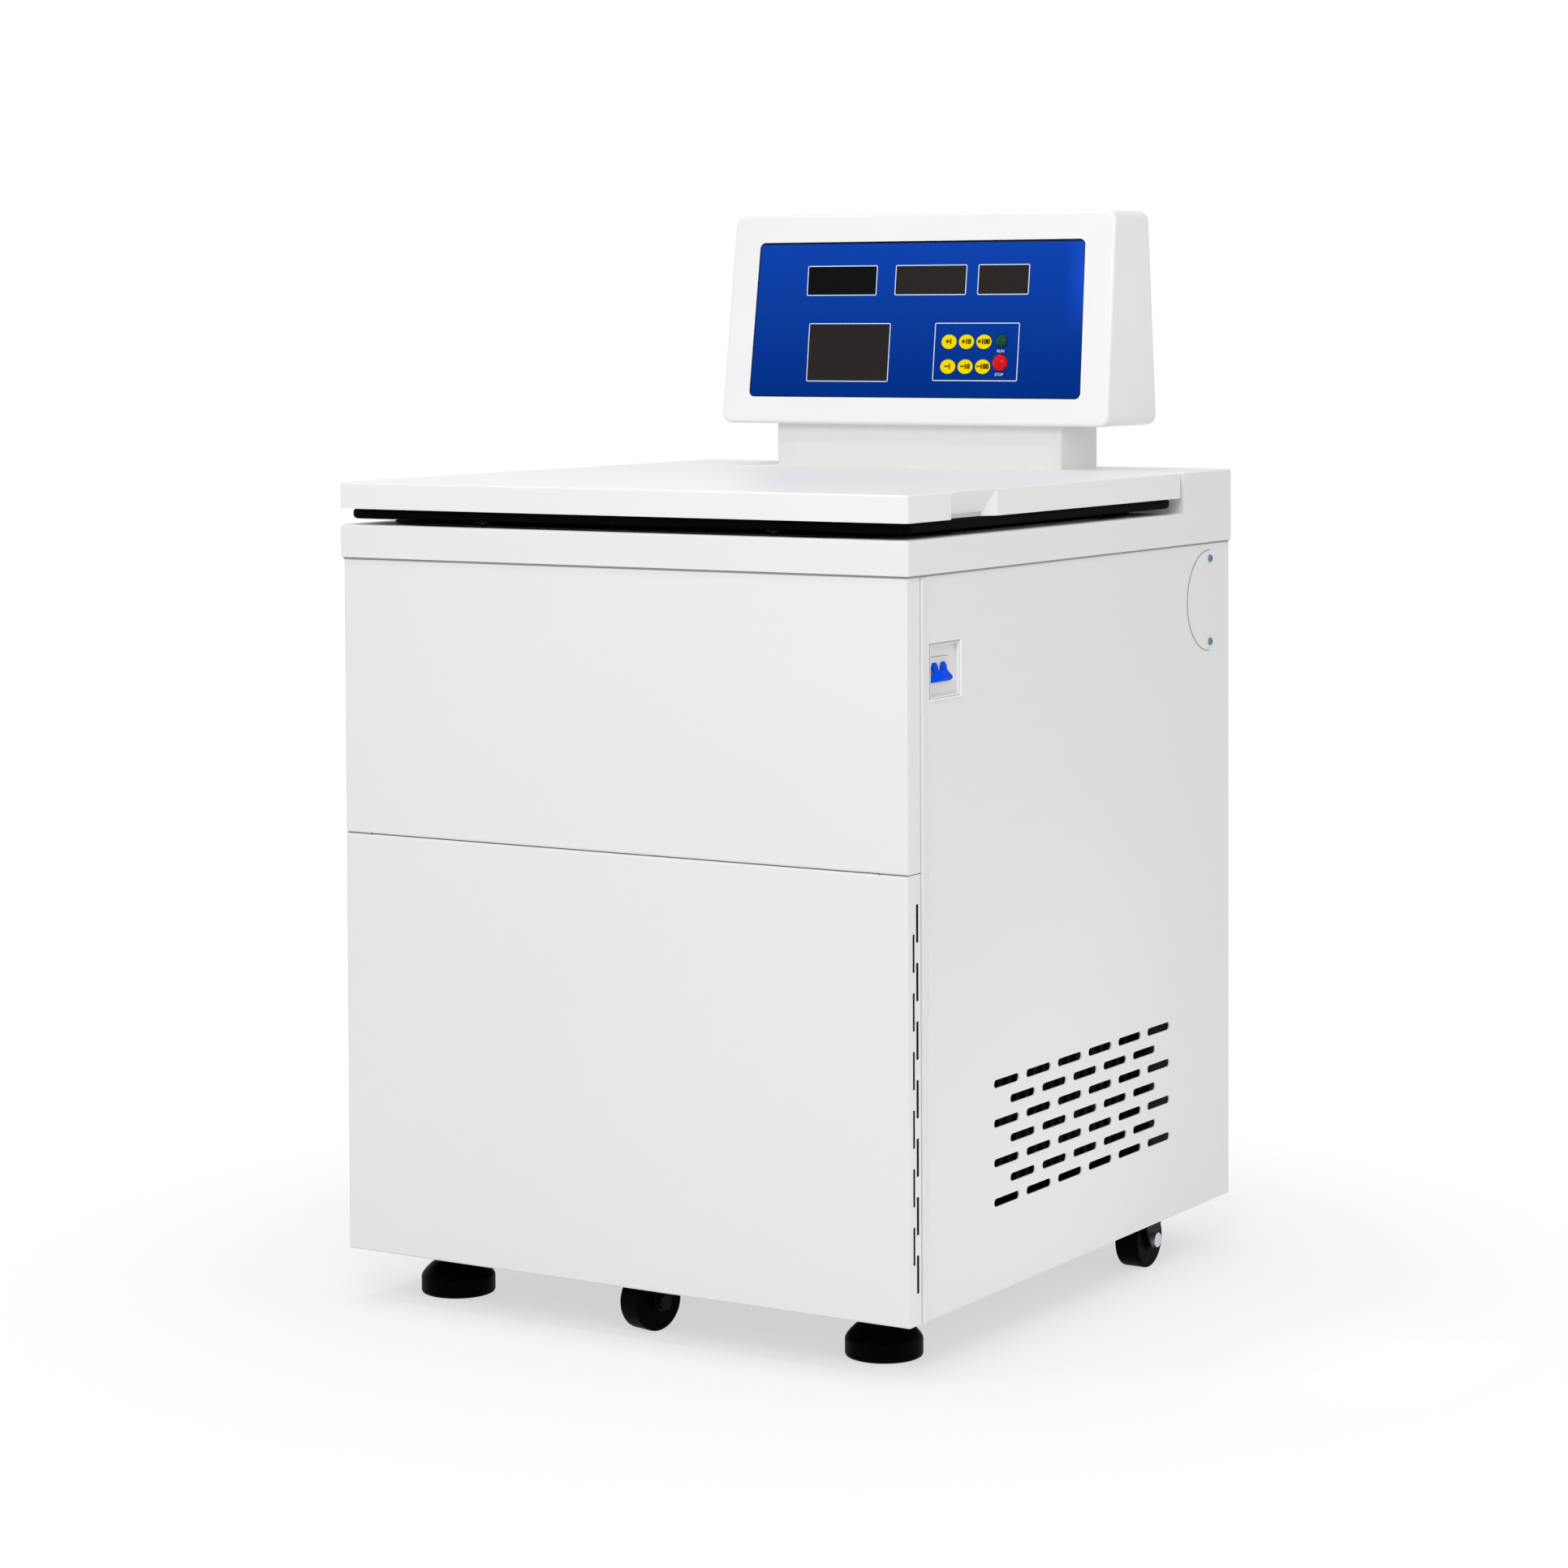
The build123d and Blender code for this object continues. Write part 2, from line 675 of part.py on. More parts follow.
# Lid seal: flat ring that closes on the top frame's land
seal_r = opening_r + seal_width
with BuildPart() as lid_seal:
    with BuildSketch(Plane.XY.offset(land_top_z + rest_gap)):
        with Locations((0, chamber_y)):
            Circle(seal_r + seal_width / 2)
            Circle(seal_r - seal_width / 2, mode=Mode.SUBTRACT)
    extrude(amount=liner_z - land_top_z - rest_gap)
lid_seal.part.label = "lid_seal"
export_step(lid_seal.part, "parts/lid_seal.step")

# Hinge leaves on the lid: two knuckles each side of a fixed one
lid_ceiling_z = lid_top_z - lid_wall
with BuildPart() as lid_hinge_leaves:
    for hinge_x in hinge_xs:
        for side in (-1, 1):
            leaf_x = hinge_x + side * (hinge_fixed_width / 2 + hinge_side_gap + hinge_leaf_width / 2)
            with BuildSketch(Plane.YZ.offset(leaf_x - hinge_leaf_width / 2)):
                with Locations((hinge_y, hinge_z)):
                    Circle(hinge_knuckle_r)
                with Locations((hinge_y - hinge_knuckle_r / 2, (hinge_z + lid_ceiling_z) / 2)):
                    Rectangle(hinge_knuckle_r, lid_ceiling_z - hinge_z)
                with Locations((hinge_y - hinge_leaf_length / 2, lid_ceiling_z - lid_wall / 2)):
                    Rectangle(hinge_leaf_length, lid_wall)
                with Locations((hinge_y, hinge_z)):
                    Circle(hinge_pin_r + hinge_running, mode=Mode.SUBTRACT)
            extrude(amount=hinge_leaf_width)
lid_hinge_leaves.part.label = "lid_hinge_leaves"
export_step(lid_hinge_leaves.part, "parts/lid_hinge_leaves.step")

# Fixed hinge brackets, reaching out of the rear block, with their pins
hinge_foot_y = block_front_y + rim_wall
with BuildPart() as hinge_brackets:
    for hinge_x in hinge_xs:
        with BuildSketch(Plane.YZ.offset(hinge_x - hinge_fixed_width / 2)):
            with Locations((hinge_y, hinge_z)):
                Circle(hinge_knuckle_r)
            with Locations(((hinge_y + hinge_foot_y) / 2, hinge_z)):
                Rectangle(hinge_foot_y - hinge_y, hinge_arm_height)
            with Locations((hinge_foot_y + lid_wall / 2,
                            hinge_z + hinge_arm_height / 2 - hinge_foot_height / 2)):
                Rectangle(lid_wall, hinge_foot_height)
            with Locations((hinge_y, hinge_z)):
                Circle(hinge_pin_r + hinge_running, mode=Mode.SUBTRACT)
        extrude(amount=hinge_fixed_width)
        with BuildSketch(Plane.YZ.offset(hinge_x - hinge_group_width / 2)):
            with Locations((hinge_y, hinge_z)):
                Circle(hinge_pin_r)
        extrude(amount=hinge_group_width)
hinge_brackets.part.label = "hinge_brackets"
export_step(hinge_brackets.part, "parts/hinge_brackets.step")

# Strikers under the lid's front edge, each with an eye for the lock's bolt
with BuildPart() as lid_strikers:
    for lock_x, lock_y in lock_spots:
        with BuildSketch(Plane.XY.offset(liner_z)):
            with Locations((lock_x, lock_y)):
                Rectangle(striker_width, striker_width + striker_plate)
        extrude(amount=-(liner_z - land_top_z) / 2)
        with BuildSketch(Plane.YZ.offset(lock_x - striker_plate / 2)):
            striker_foot_z = rim_top_z - striker_reach
            with Locations((lock_y, (liner_z + striker_foot_z) / 2)):
                Rectangle(striker_width, liner_z - striker_foot_z)
            with Locations((lock_y, striker_foot_z + striker_width / 2)):
                Circle(striker_width / 4, mode=Mode.SUBTRACT)
        extrude(amount=striker_plate)
lid_strikers.part.label = "lid_strikers"
export_step(lid_strikers.part, "parts/lid_strikers.step")

# Lid locks: housings hung under the top frame, open at the top for the strikers
with BuildPart() as lid_locks:
    with BuildSketch(Plane.XY.offset(frame_ceiling_z)):
        with Locations(*lock_spots):
            Rectangle(lock_width, striker_width + 4 * striker_plate)
    extrude(amount=-lock_height)
    with BuildSketch(Plane.XY.offset(frame_ceiling_z)):
        with Locations(*lock_spots):
            Rectangle(3 * striker_plate, striker_width + 2 * striker_plate)
    extrude(amount=-striker_reach - striker_plate, mode=Mode.SUBTRACT)
lid_locks.part.label = "lid_locks"
export_step(lid_locks.part, "parts/lid_locks.step")

# ================================================================ chamber

# Stainless bowl with a rolled-out flange under the top frame
rotor_axis = Axis((0, chamber_y, 0), (0, 0, 1))
flange_z = frame_ceiling_z - bowl_wall
with BuildPart() as chamber_bowl:
    with BuildSketch(Plane.XZ.offset(-chamber_y)):
        with BuildLine():
            Polyline((0, bowl_floor_z - bowl_wall), (bowl_r - bowl_fillet, bowl_floor_z - bowl_wall))
            TangentArc((bowl_r - bowl_fillet, bowl_floor_z - bowl_wall),
                       (bowl_r + bowl_wall, bowl_floor_z + bowl_fillet), tangent=(1, 0))
            Polyline((bowl_r + bowl_wall, bowl_floor_z + bowl_fillet), (bowl_r + bowl_wall, flange_z),
                     (bowl_r + bowl_flange, flange_z), (bowl_r + bowl_flange, frame_ceiling_z),
                     (bowl_r, frame_ceiling_z), (bowl_r, bowl_floor_z + bowl_fillet))
            TangentArc((bowl_r, bowl_floor_z + bowl_fillet), (bowl_r - bowl_fillet, bowl_floor_z),
                       tangent=(0, -1))
            Polyline((bowl_r - bowl_fillet, bowl_floor_z), (0, bowl_floor_z),
                     (0, bowl_floor_z - bowl_wall))
        make_face()
    revolve(axis=rotor_axis)
    with BuildSketch(Plane.XY.offset(bowl_floor_z - bowl_wall)):
        with Locations((0, chamber_y)):
            Circle(bowl_hole_r)
    extrude(amount=bowl_wall, mode=Mode.SUBTRACT)
chamber_bowl.part.label = "chamber_bowl"
export_step(chamber_bowl.part, "parts/chamber_bowl.step")

# Foam insulation round and under the bowl
with BuildPart() as foam_insulation:
    with BuildSketch(Plane.XY.offset(bowl_deck_z)):
        with Locations((0, chamber_y)):
            Circle(bowl_r + foam_wall)
            Circle(bowl_hole_r, mode=Mode.SUBTRACT)
    extrude(amount=frame_ceiling_z - bowl_wall - bowl_deck_z)
    with BuildSketch(Plane.XY.offset(bowl_floor_z - bowl_wall)):
        with Locations((0, chamber_y)):
            Circle(bowl_r + bowl_wall + rest_gap)
    extrude(amount=frame_ceiling_z - bowl_floor_z, mode=Mode.SUBTRACT)
foam_insulation.part.label = "foam_insulation"
export_step(foam_insulation.part, "parts/foam_insulation.step")

# Steel armour ring that would stop a burst rotor
armour_r = bowl_r + foam_wall + rest_gap
with BuildPart() as armour_ring:
    with BuildSketch(Plane.XY.offset(bowl_deck_z)):
        with Locations((0, chamber_y)):
            Circle(armour_r + armour_wall)
            Circle(armour_r, mode=Mode.SUBTRACT)
    extrude(amount=frame_ceiling_z - bowl_wall - bowl_deck_z)
armour_ring.part.label = "armour_ring"
export_step(armour_ring.part, "parts/armour_ring.step")

# ================================================================ drive and rotor

mount_ring_r = (motor_r + motor_flange_r) / 2 + sheet
motor_flange_z = motor_deck_z + mount_height
motor_top_z = motor_flange_z + motor_flange + motor_rise
neck_top_z = bowl_floor_z + motor_flange / 2
yoke_low_z = yoke_z - yoke_thickness / 2
yoke_top_z = yoke_z + yoke_thickness / 2

# Drive motor: can, flange and the neck that carries the spindle's bearings
with BuildPart() as drive_motor:
    with BuildSketch(Plane.XY.offset(motor_deck_z - motor_drop)):
        with Locations((0, chamber_y)):
            Circle(motor_r)
    extrude(amount=motor_drop + mount_height + motor_flange + motor_rise)
    fillet(drive_motor.edges().group_by(Axis.Z)[0], motor_flange)
    fillet(drive_motor.edges().group_by(Axis.Z)[-1], motor_flange)
    with BuildSketch(Plane.XY.offset(motor_flange_z)):
        with Locations((0, chamber_y)):
            Circle(motor_flange_r)
    extrude(amount=motor_flange)
    with BuildSketch(Plane.XY.offset(motor_top_z)):
        with Locations((0, chamber_y)):
            Circle(motor_neck_r)
    extrude(amount=neck_top_z - motor_top_z)
drive_motor.part.label = "drive_motor"
export_step(drive_motor.part, "parts/drive_motor.step")

# Rubber mounts between the motor deck and the motor's flange
with BuildPart() as motor_mounts:
    with BuildSketch(Plane.XY.offset(motor_deck_z)):
        with Locations((0, chamber_y)):
            with PolarLocations(mount_ring_r, mount_count, start_angle=45):
                Circle(mount_r)
    extrude(amount=mount_height)
motor_mounts.part.label = "motor_mounts"
export_step(motor_mounts.part, "parts/motor_mounts.step")

# Rotor spindle: a thick shoulder and the nose that the yoke sits on
spindle_shoulder_r = spindle_r * 1.5
with BuildPart() as rotor_spindle:
    with BuildSketch(Plane.XY.offset(neck_top_z + spindle_running)):
        with Locations((0, chamber_y)):
            Circle(spindle_shoulder_r)
    extrude(amount=yoke_low_z - neck_top_z - spindle_running)
    with BuildSketch(Plane.XY.offset(yoke_low_z)):
        with Locations((0, chamber_y)):
            Circle(spindle_r)
    extrude(amount=yoke_thickness + nut_height * 2 / 3)
rotor_spindle.part.label = "rotor_spindle"
export_step(rotor_spindle.part, "parts/rotor_spindle.step")

# Swing-out rotor yoke: four arms with trunnion pins on both sides of each gap
bucket_sweep_r = hypot(bucket_rim_r, bucket_above)
notch_inner = trunnion_radius - bucket_sweep_r - bucket_rim_height
notch_span = yoke_r * 1.1 - notch_inner
with BuildPart() as rotor_yoke:
    with BuildSketch(Plane.XY.offset(yoke_low_z)):
        with Locations((0, chamber_y)):
            Circle(yoke_r)
            with PolarLocations(notch_inner + notch_span / 2, bucket_count):
                Rectangle(notch_span, notch_width, mode=Mode.SUBTRACT)
    extrude(amount=yoke_thickness)
    fillet(vertical_edges(rotor_yoke), bucket_rim_height)
    chamfer(rotor_yoke.edges().group_by(Axis.Z)[-1], sheet)
    for number in range(bucket_count):
        turn = radians(number * 360 / bucket_count)
        outward = Vector(cos(turn), sin(turn), 0)
        across = Vector(-sin(turn), cos(turn), 0)
        for side in (-1, 1):
            root = (Vector(0, chamber_y, yoke_z) + outward * trunnion_radius
                    + across * side * (notch_width / 2 + trunnion_r))
            with BuildSketch(Plane(origin=root, x_dir=outward, z_dir=across * -side)):
                Circle(trunnion_r)
            extrude(amount=trunnion_r + trunnion_length)
    with BuildSketch(Plane.XY.offset(yoke_low_z)):
        with Locations((0, chamber_y)):
            Circle(spindle_r + trunnion_running)
    extrude(amount=yoke_thickness, mode=Mode.SUBTRACT)
rotor_yoke.part.label = "rotor_yoke"
export_step(rotor_yoke.part, "parts/rotor_yoke.step")

# Lobed nut that holds the yoke on the spindle
with BuildPart() as rotor_nut:
    with BuildSketch(Plane.XY.offset(yoke_top_z)):
        with Locations((0, chamber_y)):
            Circle(nut_r)
            with PolarLocations(nut_r * 1.2, nut_lobes):
                Circle(nut_r / 3, mode=Mode.SUBTRACT)
    extrude(amount=nut_height)
    fillet(rotor_nut.edges().group_by(Axis.Z)[-1], sheet)
    with BuildSketch(Plane.XY.offset(yoke_top_z)):
        with Locations((0, chamber_y)):
            Circle(spindle_r + trunnion_running)
    extrude(amount=nut_height * 2 / 3 + rest_gap, mode=Mode.SUBTRACT)
rotor_nut.part.label = "rotor_nut"
export_step(rotor_nut.part, "parts/rotor_nut.step")


def bucket(number):
    """Round swing bucket hanging on the yoke's trunnions, its ears open below."""
    turn = radians(number * 360 / bucket_count)
    outward = Vector(cos(turn), sin(turn), 0)
    across = Vector(-sin(turn), cos(turn), 0)
    axis_point = Vector(0, chamber_y, 0) + outward * trunnion_radius
    low_z = yoke_z - bucket_below
    height = bucket_above + bucket_below
    ear_reach = notch_width / 2 - 2 * rest_gap
    socket_depth = trunnion_length
    with BuildPart() as cup:
        with BuildSketch(Plane(origin=axis_point + Vector(0, 0, low_z), x_dir=outward)):
            Circle(bucket_r)
        extrude(amount=height)
        fillet(cup.edges().group_by(Axis.Z)[0], 2 * bucket_wall)
        with BuildSketch(Plane(origin=axis_point + Vector(0, 0, yoke_z + bucket_above), x_dir=outward)):
            Circle(bucket_rim_r)
        extrude(amount=-bucket_rim_height)
        with BuildSketch(Plane(origin=axis_point + Vector(0, 0, yoke_z), x_dir=outward, z_dir=across)):
            Circle(boss_r)
        extrude(amount=ear_reach, both=True)
        with BuildSketch(Plane(origin=axis_point + Vector(0, 0, low_z + bucket_wall), x_dir=outward)):
            Circle(bucket_r - bucket_wall)
        extrude(amount=height, mode=Mode.SUBTRACT)
        for side in (-1, 1):
            ear = axis_point + Vector(0, 0, yoke_z) + across * side * ear_reach
            with BuildSketch(Plane(origin=ear, x_dir=outward, z_dir=across * side)):
                Circle(trunnion_r + trunnion_running)
            extrude(amount=-socket_depth, mode=Mode.SUBTRACT)
            with BuildSketch(Plane(origin=ear + Vector(0, 0, -boss_r), x_dir=outward,
                                   z_dir=across * side)):
                Rectangle(2 * (trunnion_r + trunnion_running), 2 * boss_r)
            extrude(amount=-socket_depth, mode=Mode.SUBTRACT)
    return cup


for number in range(bucket_count):
    cup = bucket(number)
    label = f"bucket_{number + 1}"
    cup.part.label = label
    export_step(cup.part, f"parts/{label}.step")

# ================================================================ refrigeration and electrics

# Domed compressor on its foot plate
with BuildPart() as compressor:
    with BuildSketch(Plane.XY.offset(base_top_z)):
        with Locations((compressor_x, compressor_y)):
            RectangleRounded(compressor_foot, 2 * compressor_r, compressor_r / 4)
    extrude(amount=2 * sheet)
    with BuildSketch(Plane.XY.offset(base_top_z + 2 * sheet)):
        with Locations((compressor_x, compressor_y)):
            Circle(compressor_r - sheet)
    extrude(amount=compressor_height - 2 * sheet)
    fillet(compressor.edges().group_by(Axis.Z)[-1], compressor_r / 2)
    with BuildSketch(Plane.XY.offset(base_top_z + compressor_height / 2)):
        with Locations((compressor_x + compressor_r, compressor_y)):
            RectangleRounded(compressor_r / 2, compressor_r * 2 / 3, 2 * sheet)
    extrude(amount=compressor_height / 4)
compressor.part.label = "compressor"
export_step(compressor.part, "parts/compressor.step")

# Finned condenser with its fan shroud, struts and the fan's motor
coil_outer_x = panel_x - sheet - condenser_gap
coil_inner_x = coil_outer_x - condenser_depth
fan_z = base_top_z + condenser_height / 2
fan_motor_depth = shroud_depth - fan_depth - 2
fan_shaft_r = fan_motor_r / 6
fin_count = round((condenser_length - 2 * fin_pitch) / fin_pitch)
with BuildPart() as condenser:
    with BuildSketch(Plane.YZ.offset(coil_inner_x)):
        with Locations((vent_mid_y, fan_z)):
            Rectangle(condenser_length, condenser_height)
            with GridLocations(fin_pitch, 0, fin_count, 1):
                Rectangle(fin_slot, condenser_height - 2 * fin_pitch, mode=Mode.SUBTRACT)
    extrude(amount=condenser_depth)
    with BuildSketch(Plane.YZ.offset(coil_inner_x)):
        with Locations((vent_mid_y, fan_z)):
            Circle(shroud_r + shroud_wall)
            Circle(shroud_r, mode=Mode.SUBTRACT)
    extrude(amount=-shroud_depth)
    with BuildSketch(Plane.YZ.offset(coil_inner_x)):
        with Locations((vent_mid_y, fan_z)):
            Circle(fan_motor_r)
            Rectangle(2 * shroud_r + shroud_wall, 2 * shroud_wall)
            Rectangle(2 * shroud_wall, 2 * shroud_r + shroud_wall)
    extrude(amount=-fan_motor_depth)
    with BuildSketch(Plane.YZ.offset(coil_inner_x - fan_motor_depth)):
        with Locations((vent_mid_y, fan_z)):
            Circle(fan_shaft_r)
    extrude(amount=-fan_depth / 2)
condenser.part.label = "condenser"
export_step(condenser.part, "parts/condenser.step")

# Condenser fan: hub and pitched blades
fan_face_x = coil_inner_x - fan_motor_depth - 1
fan_middle = Vector(fan_face_x - fan_depth / 2, vent_mid_y, fan_z)
blade_pitch = 25.0
blade_plate = 2.0
with BuildPart() as condenser_fan:
    with BuildSketch(Plane.YZ.offset(fan_face_x)):
        with Locations((vent_mid_y, fan_z)):
            Circle(fan_hub_r)
    extrude(amount=-fan_depth)
    fillet(condenser_fan.edges().group_by(Axis.X)[0], fan_depth / 6)
    for number in range(fan_blades):
        turn = radians(number * 360 / fan_blades)
        radial = Vector(0, cos(turn), sin(turn))
        along = Vector(0, -sin(turn), cos(turn))
        pitch = radians(blade_pitch)
        chord_way = along * cos(pitch) + Vector(1, 0, 0) * sin(pitch)
        root = fan_middle + radial * (fan_hub_r - blade_plate)
        with BuildSketch(Plane(origin=root, x_dir=chord_way, z_dir=radial)):
            Rectangle(2 * fan_depth, blade_plate)
        extrude(amount=fan_r - fan_hub_r + blade_plate)
    with BuildSketch(Plane.YZ.offset(fan_face_x)):
        with Locations((vent_mid_y, fan_z)):
            Circle(fan_shaft_r + axle_running)
    extrude(amount=-fan_depth / 2, mode=Mode.SUBTRACT)
condenser_fan.part.label = "condenser_fan"
export_step(condenser_fan.part, "parts/condenser_fan.step")

# Motor inverter: closed box with a finned heat sink towards the motor
with BuildPart() as inverter_box:
    with BuildSketch(Plane.XY.offset(base_top_z)):
        with Locations((inverter_x, inverter_y)):
            RectangleRounded(inverter_width, inverter_depth, 2 * sheet)
            with Locations((0, inverter_depth / 2)):
                with GridLocations(fin_pitch, 0, round(inverter_width / fin_pitch) - 1, 1):
                    Rectangle(fin_slot / 2, inverter_depth / 3, mode=Mode.SUBTRACT)
    extrude(amount=inverter_height)
    with BuildSketch(Plane.XY.offset(base_top_z)):
        with Locations((inverter_x, inverter_y - inverter_depth / 8)):
            Rectangle(inverter_width - 2 * inverter_wall, inverter_depth / 2)
    extrude(amount=inverter_height - inverter_wall, mode=Mode.SUBTRACT)
inverter_box.part.label = "inverter_box"
export_step(inverter_box.part, "parts/inverter_box.step")

# Cable gland in the rear panel, its flange outside and its nut inside
gland_plane = Plane.XZ.offset(-panel_rear_y)
with BuildPart() as cable_gland:
    with BuildSketch(gland_plane):
        with Locations((gland_x, gland_z)):
            Circle(gland_r)
    extrude(amount=-rim_overhang)
    fillet(cable_gland.edges().group_by(Axis.Y)[-1], sheet)
    with BuildSketch(gland_plane):
        with Locations((gland_x, gland_z)):
            Circle(gland_r - gland_wall - rest_gap)
    extrude(amount=gland_r + gland_wall)
    with BuildSketch(Plane.XZ.offset(-panel_rear_y + sheet)):
        with Locations((gland_x, gland_z)):
            RegularPolygon(gland_r, 6)
    extrude(amount=2 * gland_wall)
    with BuildSketch(Plane.XZ.offset(-rear_y)):
        with Locations((gland_x, gland_z)):
            Circle(cable_r)
    extrude(amount=2 * gland_r + gland_wall, mode=Mode.SUBTRACT)
cable_gland.part.label = "cable_gland"
export_step(cable_gland.part, "parts/cable_gland.step")

# ================================================================ mains breaker

breaker_y = window_y + breaker_shift
recess_floor_x = panel_x - recess_depth
breaker_face_x = recess_floor_x - recess_wall - rest_gap
nose_tip_x = panel_x - nose_lip
lever_x = panel_x - lever_drop

# Shallow pan set into the side panel round the breaker
with BuildPart() as breaker_recess:
    with BuildSketch(Plane.YZ.offset(recess_floor_x - recess_wall)):
        with Locations((window_y, window_z)):
            Rectangle(window_width - 2 * rest_gap, window_height - 2 * rest_gap)
    extrude(amount=recess_depth + recess_wall)
    with BuildSketch(Plane.YZ.offset(panel_x - sheet)):
        with Locations((window_y, window_z)):
            Rectangle(window_width + 2 * recess_flange, window_height + 2 * recess_flange)
    extrude(amount=-recess_wall)
    with BuildSketch(Plane.YZ.offset(recess_floor_x)):
        with Locations((window_y, window_z)):
            Rectangle(window_width - 2 * (rest_gap + recess_wall),
                      window_height - 2 * (rest_gap + recess_wall))
    extrude(amount=recess_depth, mode=Mode.SUBTRACT)
    with BuildSketch(Plane.YZ.offset(recess_floor_x)):
        with Locations((breaker_y, nose_low_z + nose_height / 2 - 2 * nose_clear)):
            Rectangle(breaker_width + 2 * nose_clear, nose_height + 6 * nose_clear)
    extrude(amount=-recess_wall, mode=Mode.SUBTRACT)
breaker_recess.part.label = "breaker_recess"
export_step(breaker_recess.part, "parts/breaker_recess.step")

# Two-pole breaker: body, hollow-fronted nose, lever slots and the lever's pin
with BuildPart() as breaker_body:
    with BuildSketch(Plane.YZ.offset(breaker_face_x)):
        with Locations((breaker_y, nose_low_z + nose_height / 2)):
            Rectangle(breaker_width, breaker_height)
    extrude(amount=-breaker_depth)
    with BuildSketch(Plane.XZ.offset(-breaker_y)):
        with BuildLine():
            nose_top_z = nose_low_z + nose_height
            scoop_x = nose_tip_x - nose_rake / 2 - nose_scoop
            Polyline((breaker_face_x - nose_lip, nose_low_z), (nose_tip_x - nose_rake, nose_low_z))
            ThreePointArc((nose_tip_x - nose_rake, nose_low_z), (scoop_x, nose_low_z + nose_height / 2),
                          (nose_tip_x, nose_top_z))
            Polyline((nose_tip_x, nose_top_z), (breaker_face_x - nose_lip, nose_top_z),
                     (breaker_face_x - nose_lip, nose_low_z))
        make_face()
    extrude(amount=breaker_width / 2, both=True)
    for side in (-1, 1):
        slot_y = breaker_y + side * breaker_pole / 2
        with BuildSketch(Plane.XZ.offset(-slot_y)):
            with Locations((lever_x, lever_z)):
                Circle(lever_hub_r + lever_slot_clear)
        extrude(amount=lever_horn / 2 + lever_slot_clear, both=True, mode=Mode.SUBTRACT)
    with BuildSketch(Plane.XZ.offset(-breaker_y)):
        with Locations((lever_x, lever_z)):
            Circle(lever_pin_r)
    extrude(amount=breaker_width / 2 - sheet, both=True)
breaker_body.part.label = "breaker_body"
export_step(breaker_body.part, "parts/breaker_body.step")

# Breaker lever: a flared handle on two round horns
handle_low_z = lever_z + lever_out_r * sin(radians(lever_low_angle))
handle_waist_z = lever_z + lever_out_r * sin(radians(lever_waist_angle))
handle_high_z = lever_z + lever_out_r * sin(radians(lever_high_angle))
far = 2 * lever_out_r
sector_points = [(lever_x, lever_z),
                 (lever_x + far * cos(radians(lever_low_angle)),
                  lever_z + far * sin(radians(lever_low_angle))),
                 (lever_x + far, lever_z - lever_out_r),
                 (lever_x + far * cos(radians(lever_high_angle)),
                  lever_z + far * sin(radians(lever_high_angle)))]
with BuildPart() as breaker_lever:
    with BuildSketch(Plane.XZ.offset(-breaker_y)):
        with Locations((lever_x, lever_z)):
            Circle(lever_out_r)
            Circle(lever_in_r, mode=Mode.SUBTRACT)
        with BuildLine():
            Polyline(*sector_points, close=True)
        make_face(mode=Mode.INTERSECT)
    extrude(amount=lever_width / 2, both=True)
    with BuildSketch(Plane.YZ.offset(recess_floor_x + rest_gap)):
        with BuildLine():
            Polyline((breaker_y - lever_neck / 2, handle_high_z + 1),
                     (breaker_y - lever_neck / 2, handle_high_z),
                     (breaker_y - lever_width / 2, handle_waist_z),
                     (breaker_y - lever_width / 2 + nose_scoop, handle_low_z - 1),
                     (breaker_y + lever_width / 2 - nose_scoop, handle_low_z - 1),
                     (breaker_y + lever_width / 2, handle_waist_z),
                     (breaker_y + lever_neck / 2, handle_high_z),
                     (breaker_y + lever_neck / 2, handle_high_z + 1), close=True)
        make_face()
    extrude(amount=lever_out_r, mode=Mode.INTERSECT)
    for side in (-1, 1):
        horn_y = breaker_y + side * breaker_pole / 2
        with BuildSketch(Plane.XZ.offset(-horn_y)):
            with Locations((lever_x, lever_z)):
                Circle(lever_out_r)
            with BuildLine():
                Polyline(*sector_points, close=True)
            make_face(mode=Mode.INTERSECT)
            with Locations((lever_x, lever_z)):
                Circle(lever_hub_r)
                Circle(lever_pin_r + axle_running, mode=Mode.SUBTRACT)
        extrude(amount=lever_horn / 2, both=True)
breaker_lever.part.label = "breaker_lever"
export_step(breaker_lever.part, "parts/breaker_lever.step")

# ================================================================ hinge access covers

# D-shaped covers, one on each side panel
with BuildPart() as hinge_covers:
    for side in (-1, 1):
        with BuildSketch(Plane.YZ.offset(side * panel_x)):
            with Locations((cover_y, cover_mid_z)):
                Circle(cover_r)
            with Locations((cover_y + cover_r / 2, cover_mid_z)):
                Rectangle(cover_r, 2 * cover_r, mode=Mode.SUBTRACT)
            with Locations((cover_y + cover_tail / 2, cover_mid_z)):
                Rectangle(cover_tail, 2 * cover_r)
            with Locations(*cover_screw_spots):
                Circle(screw_shank_r + screw_clear, mode=Mode.SUBTRACT)
        extrude(amount=side * cover_thickness)
hinge_covers.part.label = "hinge_covers"
export_step(hinge_covers.part, "parts/hinge_covers.step")

